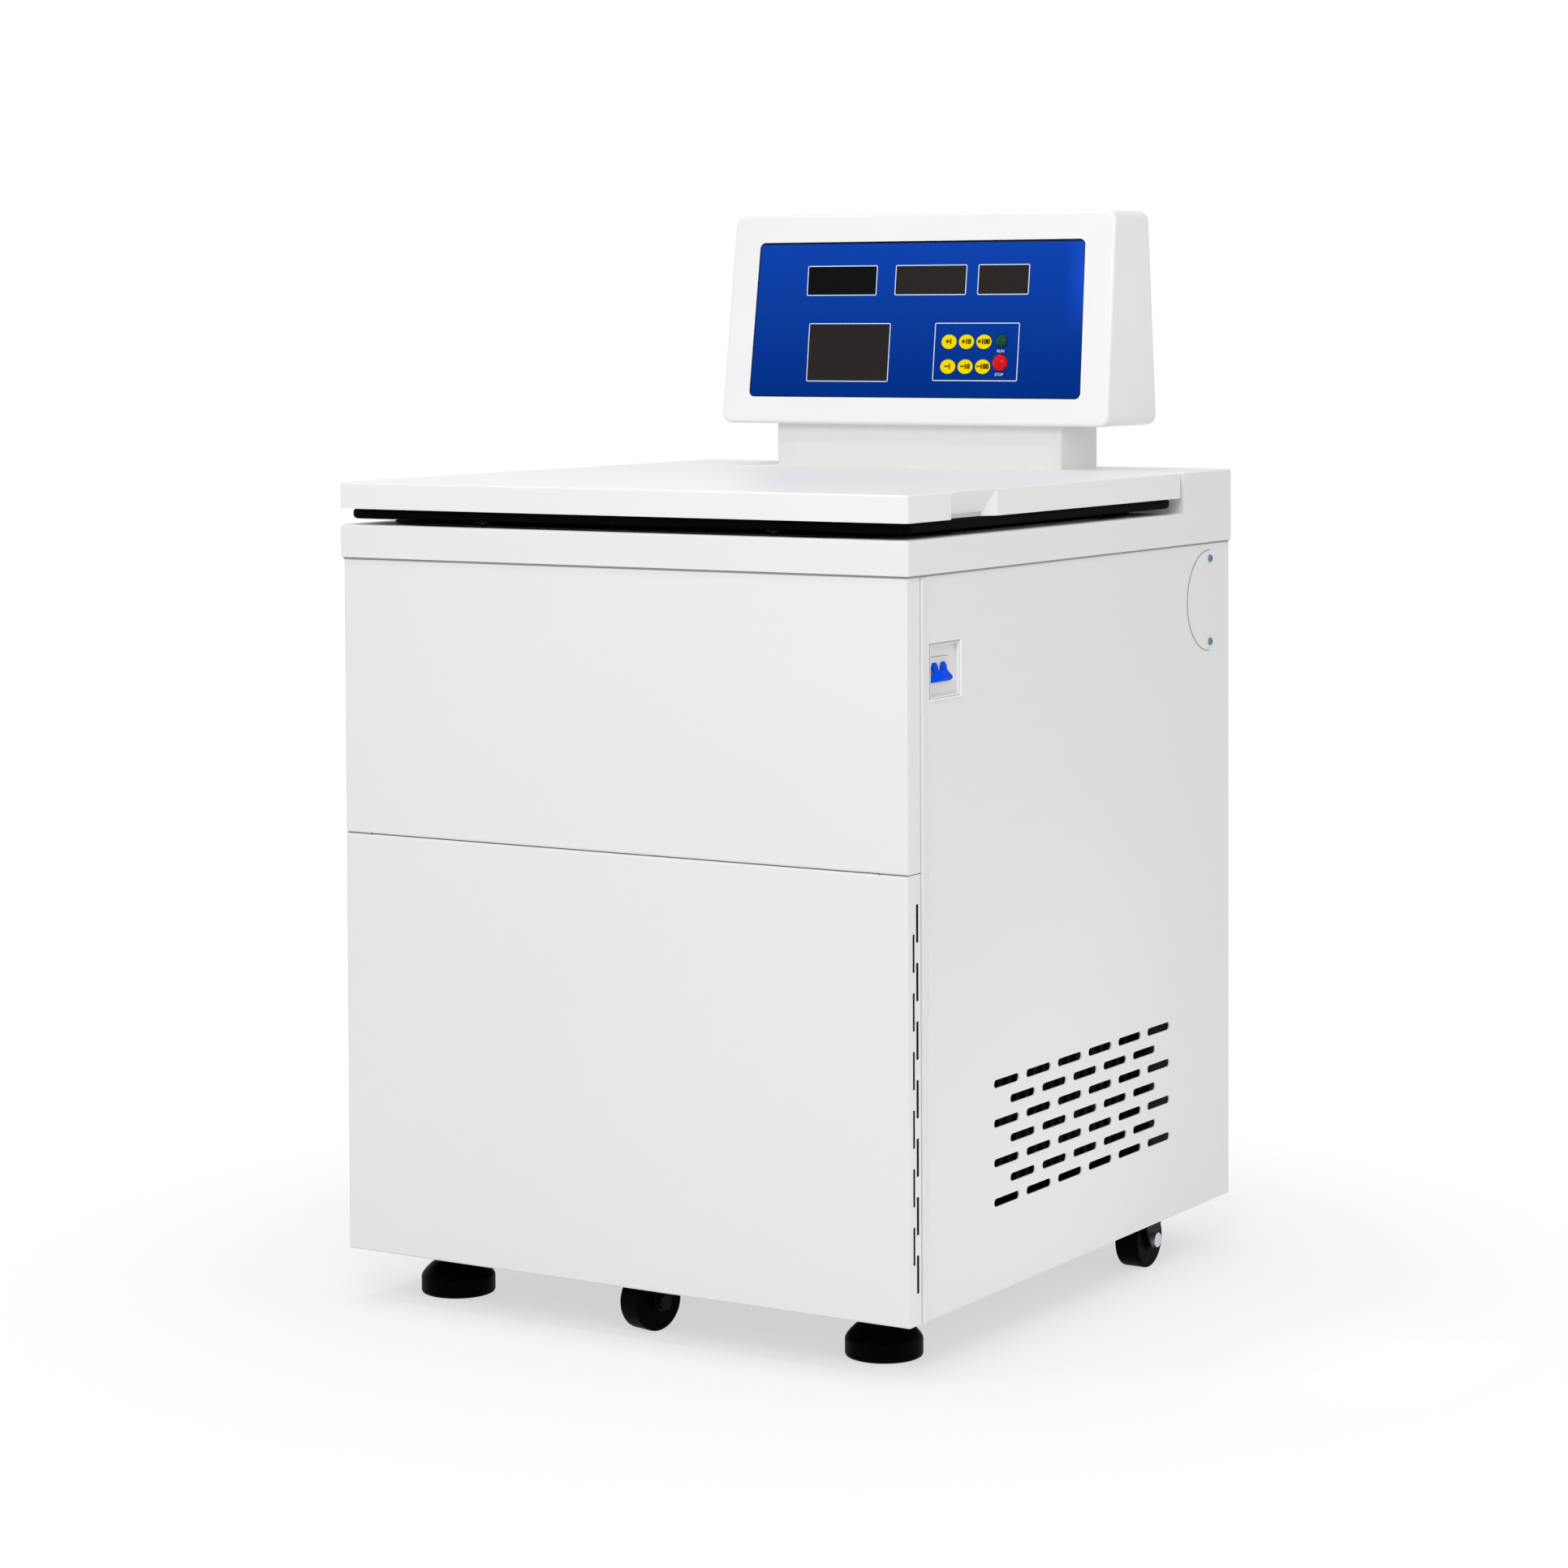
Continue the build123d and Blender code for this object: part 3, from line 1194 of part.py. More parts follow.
# Round-headed screws of the covers
with BuildPart() as cover_screws:
    for side in (-1, 1):
        head_plane = Plane.YZ.offset(side * (panel_x + cover_thickness))
        with BuildSketch(head_plane):
            with Locations(*cover_screw_spots):
                Circle(screw_r)
        extrude(amount=side * screw_head)
        with BuildSketch(head_plane):
            with Locations(*cover_screw_spots):
                Circle(screw_shank_r)
        extrude(amount=-side * screw_length)
    outer_rims = cover_screws.edges().filter_by(
        lambda e: abs(abs(e.center().X) - panel_x - cover_thickness - screw_head) < 0.1)
    fillet(outer_rims, screw_head * 0.6)
cover_screws.part.label = "cover_screws"
export_step(cover_screws.part, "parts/cover_screws.step")

# ================================================================ display head

head_low_z = lid_top_z + neck_height
head_top_z = head_low_z + head_height
face_tilt = atan(head_lean / head_height)
face_plane = Plane(origin=(0, head_front_y, head_low_z), x_dir=(1, 0, 0),
                   z_dir=(0, -cos(face_tilt), sin(face_tilt)))
back_tilt = atan((head_depth - head_lean - head_top_depth) / head_height)
back_plane = Plane(origin=(0, rear_y, head_low_z), x_dir=(-1, 0, 0),
                   z_dir=(0, cos(back_tilt), sin(back_tilt)))
inward_back_plane = Plane(origin=(0, rear_y, head_low_z), x_dir=(1, 0, 0),
                          z_dir=(0, -cos(back_tilt), -sin(back_tilt)))


def head_outline(tilt, inset):
    """Corners of the head's outline on its leaning front or rear plane, moved in by a wall."""
    low = inset * (1 + sin(tilt)) / cos(tilt)
    high = (head_height - inset * (1 - sin(tilt))) / cos(tilt)
    low_half = head_width / 2 - inset
    high_half = head_top_width / 2 - inset
    return [(-low_half, low), (low_half, low), (high_half, high), (-high_half, high)]


def panel_outline(margin):
    """Corners of the display panel's outline on the face, moved out by a margin."""
    low_half = panel_low_width / 2 + margin
    high_half = panel_high_width / 2 + margin
    return [(-low_half, panel_low - margin), (low_half, panel_low - margin),
            (high_half, panel_high + margin), (-high_half, panel_high + margin)]


# the openings for the lenses, as (x, height up the face, width, height)
lens_openings = [(speed_x, window_row, speed_width, small_window_height),
                 (time_x, window_row, time_width, small_window_height),
                 (temperature_x, window_row, temperature_width, small_window_height),
                 (screen_x, screen_row, screen_width, screen_height)]
panel_back = -panel_pocket
panel_face = panel_back + panel_plate
flange_n = panel_back - rest_gap - key_flange
board_n = flange_n - key_post - key_stroke - rest_gap

# Head housing: a tapering shell with a pocket for the display panel
with BuildPart() as head_housing:
    for plane, tilt in ((face_plane, face_tilt), (inward_back_plane, back_tilt)):
        with BuildSketch(plane) as outline:
            with BuildLine():
                Polyline(*head_outline(tilt, 0), close=True)
            make_face()
            fillet(outline.vertices(), head_corner_r)
    loft()
    fillet(head_housing.faces().sort_by(Axis.Y)[0].edges(), head_edge_r)
    fillet(head_housing.faces().sort_by(Axis.Y)[-1].edges(), head_edge_r)
    for plane, tilt in ((face_plane.offset(-head_wall), face_tilt),
                        (inward_back_plane.offset(head_wall), back_tilt)):
        with BuildSketch(plane) as outline:
            with BuildLine():
                Polyline(*head_outline(tilt, head_wall), close=True)
            make_face()
            fillet(outline.vertices(), head_corner_r - head_wall)
    loft(mode=Mode.SUBTRACT)
    with BuildSketch(face_plane) as pocket_outline:
        with BuildLine():
            Polyline(*panel_outline(panel_clear), close=True)
        make_face()
        fillet(pocket_outline.vertices(), panel_corner_r)
    extrude(amount=-panel_pocket, mode=Mode.SUBTRACT)
    with BuildSketch(face_plane) as ledge_outline:
        with BuildLine():
            Polyline(*panel_outline(-ledge), close=True)
        make_face()
        fillet(ledge_outline.vertices(), panel_corner_r)
    extrude(amount=-2 * head_wall, mode=Mode.SUBTRACT)
    rear_cover_width = head_top_width - 2 * (head_corner_r + rear_cover_margin)
    rear_cover_height = head_height - 4 * rear_cover_margin
    with BuildSketch(back_plane):
        with Locations((0, head_height / 2)):
            RectangleRounded(rear_cover_width + 2 * rest_gap, rear_cover_height + 2 * rest_gap,
                             panel_corner_r)
    extrude(amount=-rear_cover_plate, mode=Mode.SUBTRACT)
    with BuildSketch(back_plane):
        with Locations((0, head_height / 2)):
            RectangleRounded(rear_cover_width - 2 * rear_cover_ledge,
                             rear_cover_height - 2 * rear_cover_ledge, panel_corner_r)
    extrude(amount=-2 * head_wall, mode=Mode.SUBTRACT)
head_housing.part.label = "head_housing"
export_step(head_housing.part, "parts/head_housing.step")

# Rear cover of the head, let into its pocket, with a row of cooling slots
with BuildPart() as head_rear_cover:
    with BuildSketch(back_plane):
        with Locations((0, head_height / 2)):
            RectangleRounded(rear_cover_width, rear_cover_height, panel_corner_r)
        with Locations((0, head_height / 2 + rear_cover_height / 3)):
            with GridLocations(fin_pitch, 0, round(rear_cover_width / fin_pitch / 2), 1):
                SlotOverall(vent_length / 2, slit_width, rotation=90, mode=Mode.SUBTRACT)
    extrude(amount=-rear_cover_plate)
head_rear_cover.part.label = "head_rear_cover"
export_step(head_rear_cover.part, "parts/head_rear_cover.step")

# Display panel: trapezoid plate with openings for the lenses and the buttons
key_spots = {"key_plus_1": (key_x, key_high_row), "key_plus_10": (key_x + key_pitch, key_high_row),
             "key_plus_100": (key_x + 2 * key_pitch, key_high_row),
             "key_minus_1": (key_x, key_low_row), "key_minus_10": (key_x + key_pitch, key_low_row),
             "key_minus_100": (key_x + 2 * key_pitch, key_low_row)}
with BuildPart() as display_panel:
    with BuildSketch(face_plane.offset(panel_back)) as panel_shape:
        with BuildLine():
            Polyline(*panel_outline(0), close=True)
        make_face()
        fillet(panel_shape.vertices(), panel_corner_r)
        for x, row, width, height in lens_openings:
            with Locations((x, row)):
                Rectangle(width, height, mode=Mode.SUBTRACT)
        with Locations(*key_spots.values()):
            Ellipse(key_width / 2 + key_clear, key_height / 2 + key_clear, mode=Mode.SUBTRACT)
        with Locations((run_x, run_row)):
            Circle(run_r + key_clear, mode=Mode.SUBTRACT)
        with Locations((stop_x, stop_row)):
            Circle(stop_r + key_clear, mode=Mode.SUBTRACT)
    extrude(amount=panel_plate)
display_panel.part.label = "display_panel"
export_step(display_panel.part, "parts/display_panel.step")

# Lenses of the three readouts and the screen
with BuildPart() as display_lenses:
    with BuildSketch(face_plane.offset(panel_back)):
        for x, row, width, height in lens_openings:
            with Locations((x, row)):
                Rectangle(width - rest_gap, height - rest_gap)
    extrude(amount=lens_thickness)
display_lenses.part.label = "display_lenses"
export_step(display_lenses.part, "parts/display_lenses.step")

# Control board with its posts and the display modules behind the lenses
board_row = (panel_low + panel_high) / 2
board_width = panel_high_width - 2 * (ledge + board_margin)
board_height = panel_high - panel_low - 2 * (ledge + board_margin)
with BuildPart() as control_board:
    with BuildSketch(face_plane.offset(board_n)):
        with Locations((0, board_row)):
            Rectangle(board_width, board_height)
    extrude(amount=-board_thickness)
    with BuildSketch(face_plane.offset(board_n)):
        with Locations((0, board_row)):
            with GridLocations(board_width - 4 * boss_post_r, board_height - 3 * boss_post_r, 2, 2):
                Circle(boss_post_r)
        for x, row, width, height in lens_openings:
            with Locations((x, row)):
                Rectangle(width + 2 * board_margin, height + 2 * board_margin)
    extrude(amount=panel_back - board_n)
control_board.part.label = "control_board"
export_step(control_board.part, "parts/control_board.step")


def step_key(x, row):
    """Oval key through the display panel, with its flange and post behind."""
    spot = Location((x, row))
    with BuildPart() as key:
        with BuildSketch(face_plane.offset(flange_n)):
            with Locations(spot):
                Ellipse(key_width / 2 + key_lip, key_height / 2 + key_lip)
        extrude(amount=key_flange)
        with BuildSketch(face_plane.offset(flange_n + key_flange)):
            with Locations(spot):
                Ellipse(key_width / 2, key_height / 2)
        extrude(amount=panel_face + key_proud - flange_n - key_flange)
        fillet(key.faces().sort_by(Axis(face_plane.origin, face_plane.z_dir))[-1].edges(), key_round)
        with BuildSketch(face_plane.offset(flange_n)):
            with Locations(spot):
                Circle(boss_post_r)
        extrude(amount=-key_post)
    return key


def dome_button(x, row, radius):
    """Domed button through the display panel: flange and post behind, a short skirt and a cap."""
    middle = face_plane.from_local_coords((x, row, 0))
    side_plane = Plane(origin=middle, x_dir=face_plane.x_dir, z_dir=-face_plane.y_dir)
    crown_n = panel_face + dome_skirt
    dome = dome_share * radius
    cap_r = (radius ** 2 + dome ** 2) / (2 * dome)
    waist_n = crown_n + (cap_r ** 2 - (radius / 2) ** 2) ** 0.5 - (cap_r - dome)
    flange_r = radius + key_lip
    with BuildPart() as button:
        with BuildSketch(side_plane):
            with BuildLine():
                Polyline((0, crown_n + dome), (0, flange_n - key_post), (boss_post_r, flange_n - key_post),
                         (boss_post_r, flange_n), (flange_r, flange_n),
                         (flange_r, flange_n + key_flange), (radius, flange_n + key_flange),
                         (radius, crown_n))
                ThreePointArc((radius, crown_n), (radius / 2, waist_n), (0, crown_n + dome))
            make_face()
        revolve(axis=Axis(middle, face_plane.z_dir))
    return button


for name, (x, row) in key_spots.items():
    key = step_key(x, row)
    key.part.label = name
    export_step(key.part, f"parts/{name}.step")

run_button = dome_button(run_x, run_row, run_r)
run_button.part.label = "run_button"
export_step(run_button.part, "parts/run_button.step")

stop_button = dome_button(stop_x, stop_row, stop_r)
stop_button.part.label = "stop_button"
export_step(stop_button.part, "parts/stop_button.step")

# ================================================================ feet



def levelling_foot(x):
    """Round pad with a rounded shoulder and a threaded stem up through the base pan."""
    neck_r = stem_r * 1.5
    shoulder_z = foot_height - foot_rim / 8
    shoulder_bulge = (foot_r - foot_shoulder_r) * (1 - cos(radians(45)))
    shoulder_rise = (shoulder_z - foot_rim) * sin(radians(45))
    with BuildPart() as foot:
        with BuildSketch(Plane.XZ.offset(-foot_y)) as profile:
            with BuildLine():
                Polyline((x, stem_top), (x, 0), (x + foot_r - foot_rim / 8, 0),
                         (x + foot_r, foot_rim / 8), (x + foot_r, foot_rim))
                ThreePointArc((x + foot_r, foot_rim),
                              (x + foot_r - shoulder_bulge, foot_rim + shoulder_rise),
                              (x + foot_shoulder_r, shoulder_z))
                Polyline((x + foot_shoulder_r, shoulder_z), (x + neck_r, shoulder_z),
                         (x + neck_r, foot_height), (x + stem_r, foot_height),
                         (x + stem_r, stem_top - 2 * sheet), (x + stem_r - 2 * sheet, stem_top),
                         (x, stem_top))
            make_face()
        revolve(axis=Axis((x, foot_y, 0), (0, 0, 1)))
    return foot


foot_left = levelling_foot(-foot_x)
foot_left.part.label = "foot_left"
export_step(foot_left.part, "parts/foot_left.step")

foot_right = levelling_foot(foot_x)
foot_right.part.label = "foot_right"
export_step(foot_right.part, "parts/foot_right.step")

# Nuts welded under the base pan, one for each foot's stem
with BuildPart() as foot_nuts:
    with BuildSketch(Plane.XY.offset(base_z - lock_nut_height)):
        with Locations(*foot_spots):
            RegularPolygon(nut_across / 2, 6, major_radius=False)
            Circle(stem_r + thread_clear, mode=Mode.SUBTRACT)
    extrude(amount=lock_nut_height)
foot_nuts.part.label = "foot_nuts"
export_step(foot_nuts.part, "parts/foot_nuts.step")

# ================================================================ casters

leg_in = hub_width / 2 + fork_gap
leg_out = leg_in + fork_plate
caster_plate_z = base_z - caster_plate
race_z = caster_plate_z - race_height
crown_top_z = race_z - rest_gap
crown_low_z = crown_top_z - fork_crown
pin_head_z = crown_low_z - rest_gap
front_wheel_z = wheel_r + front_lift
swivel_y = front_y + front_caster_back
heading = radians(front_heading)
ahead = Vector(cos(heading), sin(heading), 0)
across = Vector(-sin(heading), cos(heading), 0)
swivel_axis = Vector(front_caster_x, swivel_y, 0)
front_wheel_mid = swivel_axis + ahead * front_trail + Vector(0, 0, front_wheel_z)


def caster_wheel(middle, axle_way):
    """Solid wheel with a rounded tread and a wider hub, bored for its axle."""
    tread_half = tread_width / 2
    tread_round = tread_half / 5
    plane = Plane(origin=middle, x_dir=axle_way, z_dir=axle_way.cross(Vector(0, 0, 1)) * -1)
    with BuildPart() as wheel:
        with BuildSketch(plane):
            with BuildLine():
                Polyline((-hub_width / 2, axle_r + axle_running), (-hub_width / 2, wheel_hub_r),
                         (-tread_half, wheel_hub_r), (-tread_half, wheel_r - tread_round))
                ThreePointArc((-tread_half, wheel_r - tread_round),
                              (-tread_half + tread_round * (1 - cos(radians(45))),
                               wheel_r - tread_round * (1 - sin(radians(45)))),
                              (-tread_half + tread_round, wheel_r))
                Line((-tread_half + tread_round, wheel_r), (tread_half - tread_round, wheel_r))
                ThreePointArc((tread_half - tread_round, wheel_r),
                              (tread_half - tread_round * (1 - cos(radians(45))),
                               wheel_r - tread_round * (1 - sin(radians(45)))),
                              (tread_half, wheel_r - tread_round))
                Polyline((tread_half, wheel_r - tread_round), (tread_half, wheel_hub_r),
                         (hub_width / 2, wheel_hub_r), (hub_width / 2, axle_r + axle_running),
                         (-hub_width / 2, axle_r + axle_running))
            make_face()
        revolve(axis=Axis(middle, axle_way))
    return wheel


# Front caster: plate with the race and the kingpin
with BuildPart() as front_caster_plate:
    with BuildSketch(Plane.XY.offset(caster_plate_z)):
        with Locations((front_caster_x, swivel_y)):
            RectangleRounded(front_plate_size, front_plate_size, 2 * caster_plate)
    extrude(amount=caster_plate)
    with BuildSketch(Plane.XY.offset(race_z)):
        with Locations((front_caster_x, swivel_y)):
            Circle(fork_crown_r - caster_plate)
    extrude(amount=race_height)
    with BuildSketch(Plane.XY.offset(pin_head_z)):
        with Locations((front_caster_x, swivel_y)):
            Circle(kingpin_r)
    extrude(amount=race_z - pin_head_z)
    with BuildSketch(Plane.XY.offset(pin_head_z)):
        with Locations((front_caster_x, swivel_y)):
            Circle(kingpin_head_r)
    extrude(amount=-kingpin_head)
front_caster_plate.part.label = "front_caster_plate"
export_step(front_caster_plate.part, "parts/front_caster_plate.step")

# Swivelling fork and its axle bolt
with BuildPart() as front_caster_fork:
    crown_plane = Plane(origin=swivel_axis + Vector(0, 0, crown_low_z), x_dir=ahead)
    with BuildSketch(crown_plane):
        Circle(fork_crown_r)
        with Locations((leg_shift, 0)):
            Rectangle(leg_width, 2 * leg_out)
    extrude(amount=fork_crown)
    for side in (-1, 1):
        leg_root = swivel_axis + across * side * leg_in
        with BuildSketch(Plane(origin=leg_root, x_dir=ahead, z_dir=across * -1)):
            with Locations((front_trail, front_wheel_z)):
                Circle(axle_eye_r)
            with Locations((leg_shift, crown_low_z + fork_crown / 2)):
                Rectangle(leg_width, fork_crown)
            make_hull()
            with Locations((front_trail, front_wheel_z)):
                Circle(axle_r + rest_gap, mode=Mode.SUBTRACT)
        extrude(amount=-side * fork_plate)
    with BuildSketch(crown_plane):
        Circle(kingpin_r + axle_running)
    extrude(amount=fork_crown, mode=Mode.SUBTRACT)
    bolt_plane = Plane(origin=front_wheel_mid, x_dir=ahead, z_dir=across)
    with BuildSketch(bolt_plane):
        Circle(axle_r)
    extrude(amount=leg_out + axle_running, both=True)
    for side in (-1, 1):
        with BuildSketch(bolt_plane.offset(side * (leg_out + axle_running))):
            Circle(bolt_head_r)
        extrude(amount=side * bolt_head)
front_caster_fork.part.label = "front_caster_fork"
export_step(front_caster_fork.part, "parts/front_caster_fork.step")

front_wheel = caster_wheel(front_wheel_mid, across)
front_wheel.part.label = "front_wheel"
export_step(front_wheel.part, "parts/front_wheel.step")

# Rear casters: rigid brackets, each with two tapering legs
with BuildPart() as rear_caster_brackets:
    for side in (-1, 1):
        bracket_x = side * rear_caster_x
        with BuildSketch(Plane.XY.offset(caster_plate_z)):
            with Locations((bracket_x, rear_caster_y)):
                RectangleRounded(rear_plate_width, rear_plate_length, 2 * caster_plate)
        extrude(amount=caster_plate)
        for leg_side in (-1, 1):
            with BuildSketch(Plane.YZ.offset(bracket_x + leg_side * leg_in)):
                with Locations((rear_caster_y, wheel_r)):
                    Circle(axle_eye_r)
                with Locations((rear_caster_y, caster_plate_z - caster_plate / 2)):
                    Rectangle(rear_leg_length, caster_plate)
                make_hull()
                with Locations((rear_caster_y, wheel_r)):
                    Circle(axle_r + rest_gap, mode=Mode.SUBTRACT)
            extrude(amount=leg_side * fork_plate)
rear_caster_brackets.part.label = "rear_caster_brackets"
export_step(rear_caster_brackets.part, "parts/rear_caster_brackets.step")

# Axle bolts of the rear casters
with BuildPart() as rear_caster_axles:
    for side in (-1, 1):
        axle_plane = Plane.YZ.offset(side * rear_caster_x)
        with BuildSketch(axle_plane):
            with Locations((rear_caster_y, wheel_r)):
                Circle(axle_r)
        extrude(amount=leg_out, both=True)
        for leg_side in (-1, 1):
            with BuildSketch(axle_plane.offset(leg_side * leg_out)):
                with Locations((rear_caster_y, wheel_r)):
                    Circle(bolt_head_r)
            extrude(amount=leg_side * bolt_head)
rear_caster_axles.part.label = "rear_caster_axles"
export_step(rear_caster_axles.part, "parts/rear_caster_axles.step")

rear_wheel_left = caster_wheel(Vector(-rear_caster_x, rear_caster_y, wheel_r), Vector(1, 0, 0))
rear_wheel_left.part.label = "rear_wheel_left"
export_step(rear_wheel_left.part, "parts/rear_wheel_left.step")

rear_wheel_right = caster_wheel(Vector(rear_caster_x, rear_caster_y, wheel_r), Vector(1, 0, 0))
rear_wheel_right.part.label = "rear_wheel_right"
export_step(rear_wheel_right.part, "parts/rear_wheel_right.step")
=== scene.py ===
# %% [markdown]
# # Dressing a floor-standing laboratory centrifuge
#
# The solid model is already whole: cabinet, lid, display head, rotor, feet and casters stand in
# place, in metres. This lesson loads it, sets a camera and lamps round it, gives every surface a
# finish built from nodes, and models the printed lines, the legends and the small fittings last.

# %% Load the solid model
import json
import math

import bpy
from mathutils import Matrix, Vector


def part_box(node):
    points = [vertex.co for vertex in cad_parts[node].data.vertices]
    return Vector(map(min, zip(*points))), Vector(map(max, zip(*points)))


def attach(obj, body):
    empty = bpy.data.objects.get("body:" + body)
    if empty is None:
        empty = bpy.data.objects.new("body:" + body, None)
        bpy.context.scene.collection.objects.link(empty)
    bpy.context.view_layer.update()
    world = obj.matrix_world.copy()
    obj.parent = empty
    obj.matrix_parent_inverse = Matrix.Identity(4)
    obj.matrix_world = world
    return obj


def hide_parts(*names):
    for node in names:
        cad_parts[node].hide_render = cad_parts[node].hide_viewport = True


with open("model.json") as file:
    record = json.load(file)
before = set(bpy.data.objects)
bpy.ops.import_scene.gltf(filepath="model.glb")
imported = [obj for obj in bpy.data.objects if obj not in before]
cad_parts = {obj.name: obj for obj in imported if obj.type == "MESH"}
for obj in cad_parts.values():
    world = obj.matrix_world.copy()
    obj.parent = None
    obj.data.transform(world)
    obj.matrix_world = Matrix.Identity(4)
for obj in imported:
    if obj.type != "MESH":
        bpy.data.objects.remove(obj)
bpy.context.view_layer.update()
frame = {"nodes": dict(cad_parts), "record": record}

nodes = frame["nodes"]
scene = bpy.context.scene
print("solid nodes:", len(nodes))

# %% [markdown]
# ## The camera
#
# The machine is seen from its right front, from a little above the lid. A long lens keeps its
# upright edges nearly parallel. The frame is moved with the lens's vertical shift, as a product
# photographer does it, because tilting the camera down would make the cabinet lean.

# %% Set the camera
camera_place = Vector((2.3471, -3.8459, 1.0625))
camera_yaw = math.radians(31.597)
camera_pitch = math.radians(2.106)
camera_roll = math.radians(0.234)

ahead = Vector((-math.sin(camera_yaw) * math.cos(camera_pitch),
                math.cos(camera_yaw) * math.cos(camera_pitch),
                -math.sin(camera_pitch)))
level_right = Vector((math.cos(camera_yaw), math.sin(camera_yaw), 0))
level_down = ahead.cross(level_right)
picture_right = math.cos(camera_roll) * level_right + math.sin(camera_roll) * level_down
picture_down = math.cos(camera_roll) * level_down - math.sin(camera_roll) * level_right

bpy.ops.object.select_all(action="DESELECT")
bpy.ops.object.camera_add(location=camera_place)
camera = bpy.context.object
camera.name = "studio_camera"
turn = Matrix((picture_right, -picture_down, -ahead)).transposed()
camera.matrix_world = Matrix.Translation(camera_place) @ turn.to_4x4()
camera.data.sensor_width = 36
camera.data.lens = 94.05
camera.data.shift_y = -0.2066
camera.data.clip_end = 100
scene.camera = camera
print("camera looks along", tuple(round(v, 3) for v in ahead))

# %% [markdown]
# ## Shader maths as plain sums
#
# Finishes need small pieces of arithmetic, such as one minus a mask. A class that wraps a socket
# and overloads the operators lets such a sum be written as Python, and each operator adds one Math
# node. Every other node comes from one method, which takes its type, its settings and its sockets.


# %% Wrap sockets and node trees
class Wire:
    """An output socket that can take part in sums and comparisons."""

    def __init__(self, tree, socket):
        self.tree = tree
        self.socket = socket

    def _math(self, operation, first, second):
        return self.tree.node("ShaderNodeMath", {"operation": operation}, {0: first, 1: second})

    def __add__(self, other):
        return self._math("ADD", self, other)

    __radd__ = __add__

    def __rsub__(self, other):
        return self._math("SUBTRACT", other, self)

    def __mul__(self, other):
        return self._math("MULTIPLY", self, other)

    def larger(self, other):
        return self._math("MAXIMUM", self, other)

    def above(self, level):
        return self._math("GREATER_THAN", self, level)

    def below(self, level):
        return self._math("LESS_THAN", self, level)


class NodeTree:
    """A node tree that is filled by one method."""

    def __init__(self, tree):
        self.tree = tree

    def join(self, target, value):
        if isinstance(value, Wire):
            self.tree.links.new(value.socket, target)
        else:
            target.default_value = value

    def node(self, kind, settings=None, sockets=None, out=0):
        """Adds a node, sets it up, and returns the output asked for, or all of them as a dict."""
        made = self.tree.nodes.new(kind)
        for name, value in (settings or {}).items():
            setattr(made, name, value)
        for name, value in (sockets or {}).items():
            self.join(made.inputs[name], value)
        if out is None:
            return {socket.name: Wire(self, socket) for socket in made.outputs}
        return Wire(self, made.outputs[out])


print("Wire and NodeTree are ready")

# %% [markdown]
# ## Studio light
#
# White sheet metal shows its form only by small steps of grey. A large soft lamp, high up at the
# front right, makes the front the brightest side. A weak one lights the right side, a small one
# brightens that side's foot, one above lights the lid, and a tiny one puts a glint on the domes.
# An even, pale world does the rest. It lights the machine mildly, and looks plain white to the
# camera, to reflections and through glass, so the background needs no extra light.

# %% Set the view and the world
white = (1, 1, 1, 1)
fill_strength = 0.60
scene.view_settings.view_transform = "Standard"

world = bpy.data.worlds.new("pale_studio")
scene.world = world
world.use_nodes = True
world.node_tree.nodes.clear()
sky = NodeTree(world.node_tree)
sky_rays = sky.node("ShaderNodeLightPath", out=None)
sky_seen = sky_rays["Is Camera Ray"].larger(sky_rays["Is Glossy Ray"])
sky_seen = sky_seen.larger(sky_rays["Is Transmission Ray"])
sky_fill = sky.node("ShaderNodeBackground", {}, {"Color": white, "Strength": fill_strength})
sky_plain = sky.node("ShaderNodeBackground", {}, {"Color": white, "Strength": 1.0})
sky_both = sky.node("ShaderNodeMixShader", {}, {0: sky_seen, 1: sky_fill, 2: sky_plain})
sky.node("ShaderNodeOutputWorld", {}, {"Surface": sky_both}, out=None)
print("the world is set")


# %% Hang the lamps
def hang_lamp(name, place, aim, width, watts):
    """A square soft box that faces the machine."""
    bpy.ops.object.light_add(type="AREA", location=place)
    lamp = bpy.context.object
    lamp.name = name
    lamp.data.shape = "SQUARE"
    lamp.data.size = width
    lamp.data.energy = watts
    lamp.rotation_euler = (Vector(aim) - Vector(place)).to_track_quat("-Z", "Y").to_euler()


hang_lamp("front_softbox", (1.25, -2.55, 2.35), (0, 0.1, 1.1), 1.2, 29)
hang_lamp("side_softbox", (4.4, 0.6, 0.8), (0, 0, 0.4), 1.8, 5)
hang_lamp("low_side_lamp", (0.83, -0.05, 0.12), (0.35, -0.05, 0.12), 0.2, 0.25)
hang_lamp("top_softbox", (-0.6, 0.4, 4.4), (0, 0, 0.6), 2.4, 12)
hang_lamp("sparkle_lamp", (-0.82, -1.26, 3.3), (0.11, 0.25, 1.02), 0.22, 11)

# %% [markdown]
# ## A finish
#
# Each surface of the machine gets one material round a Principled shader. What is even all over is
# set on the shader's own sockets. What varies goes only to colour, roughness and bump. Patterns
# read Object coordinates, which are true metres here, so a scale of 500 means cells of two
# millimetres.


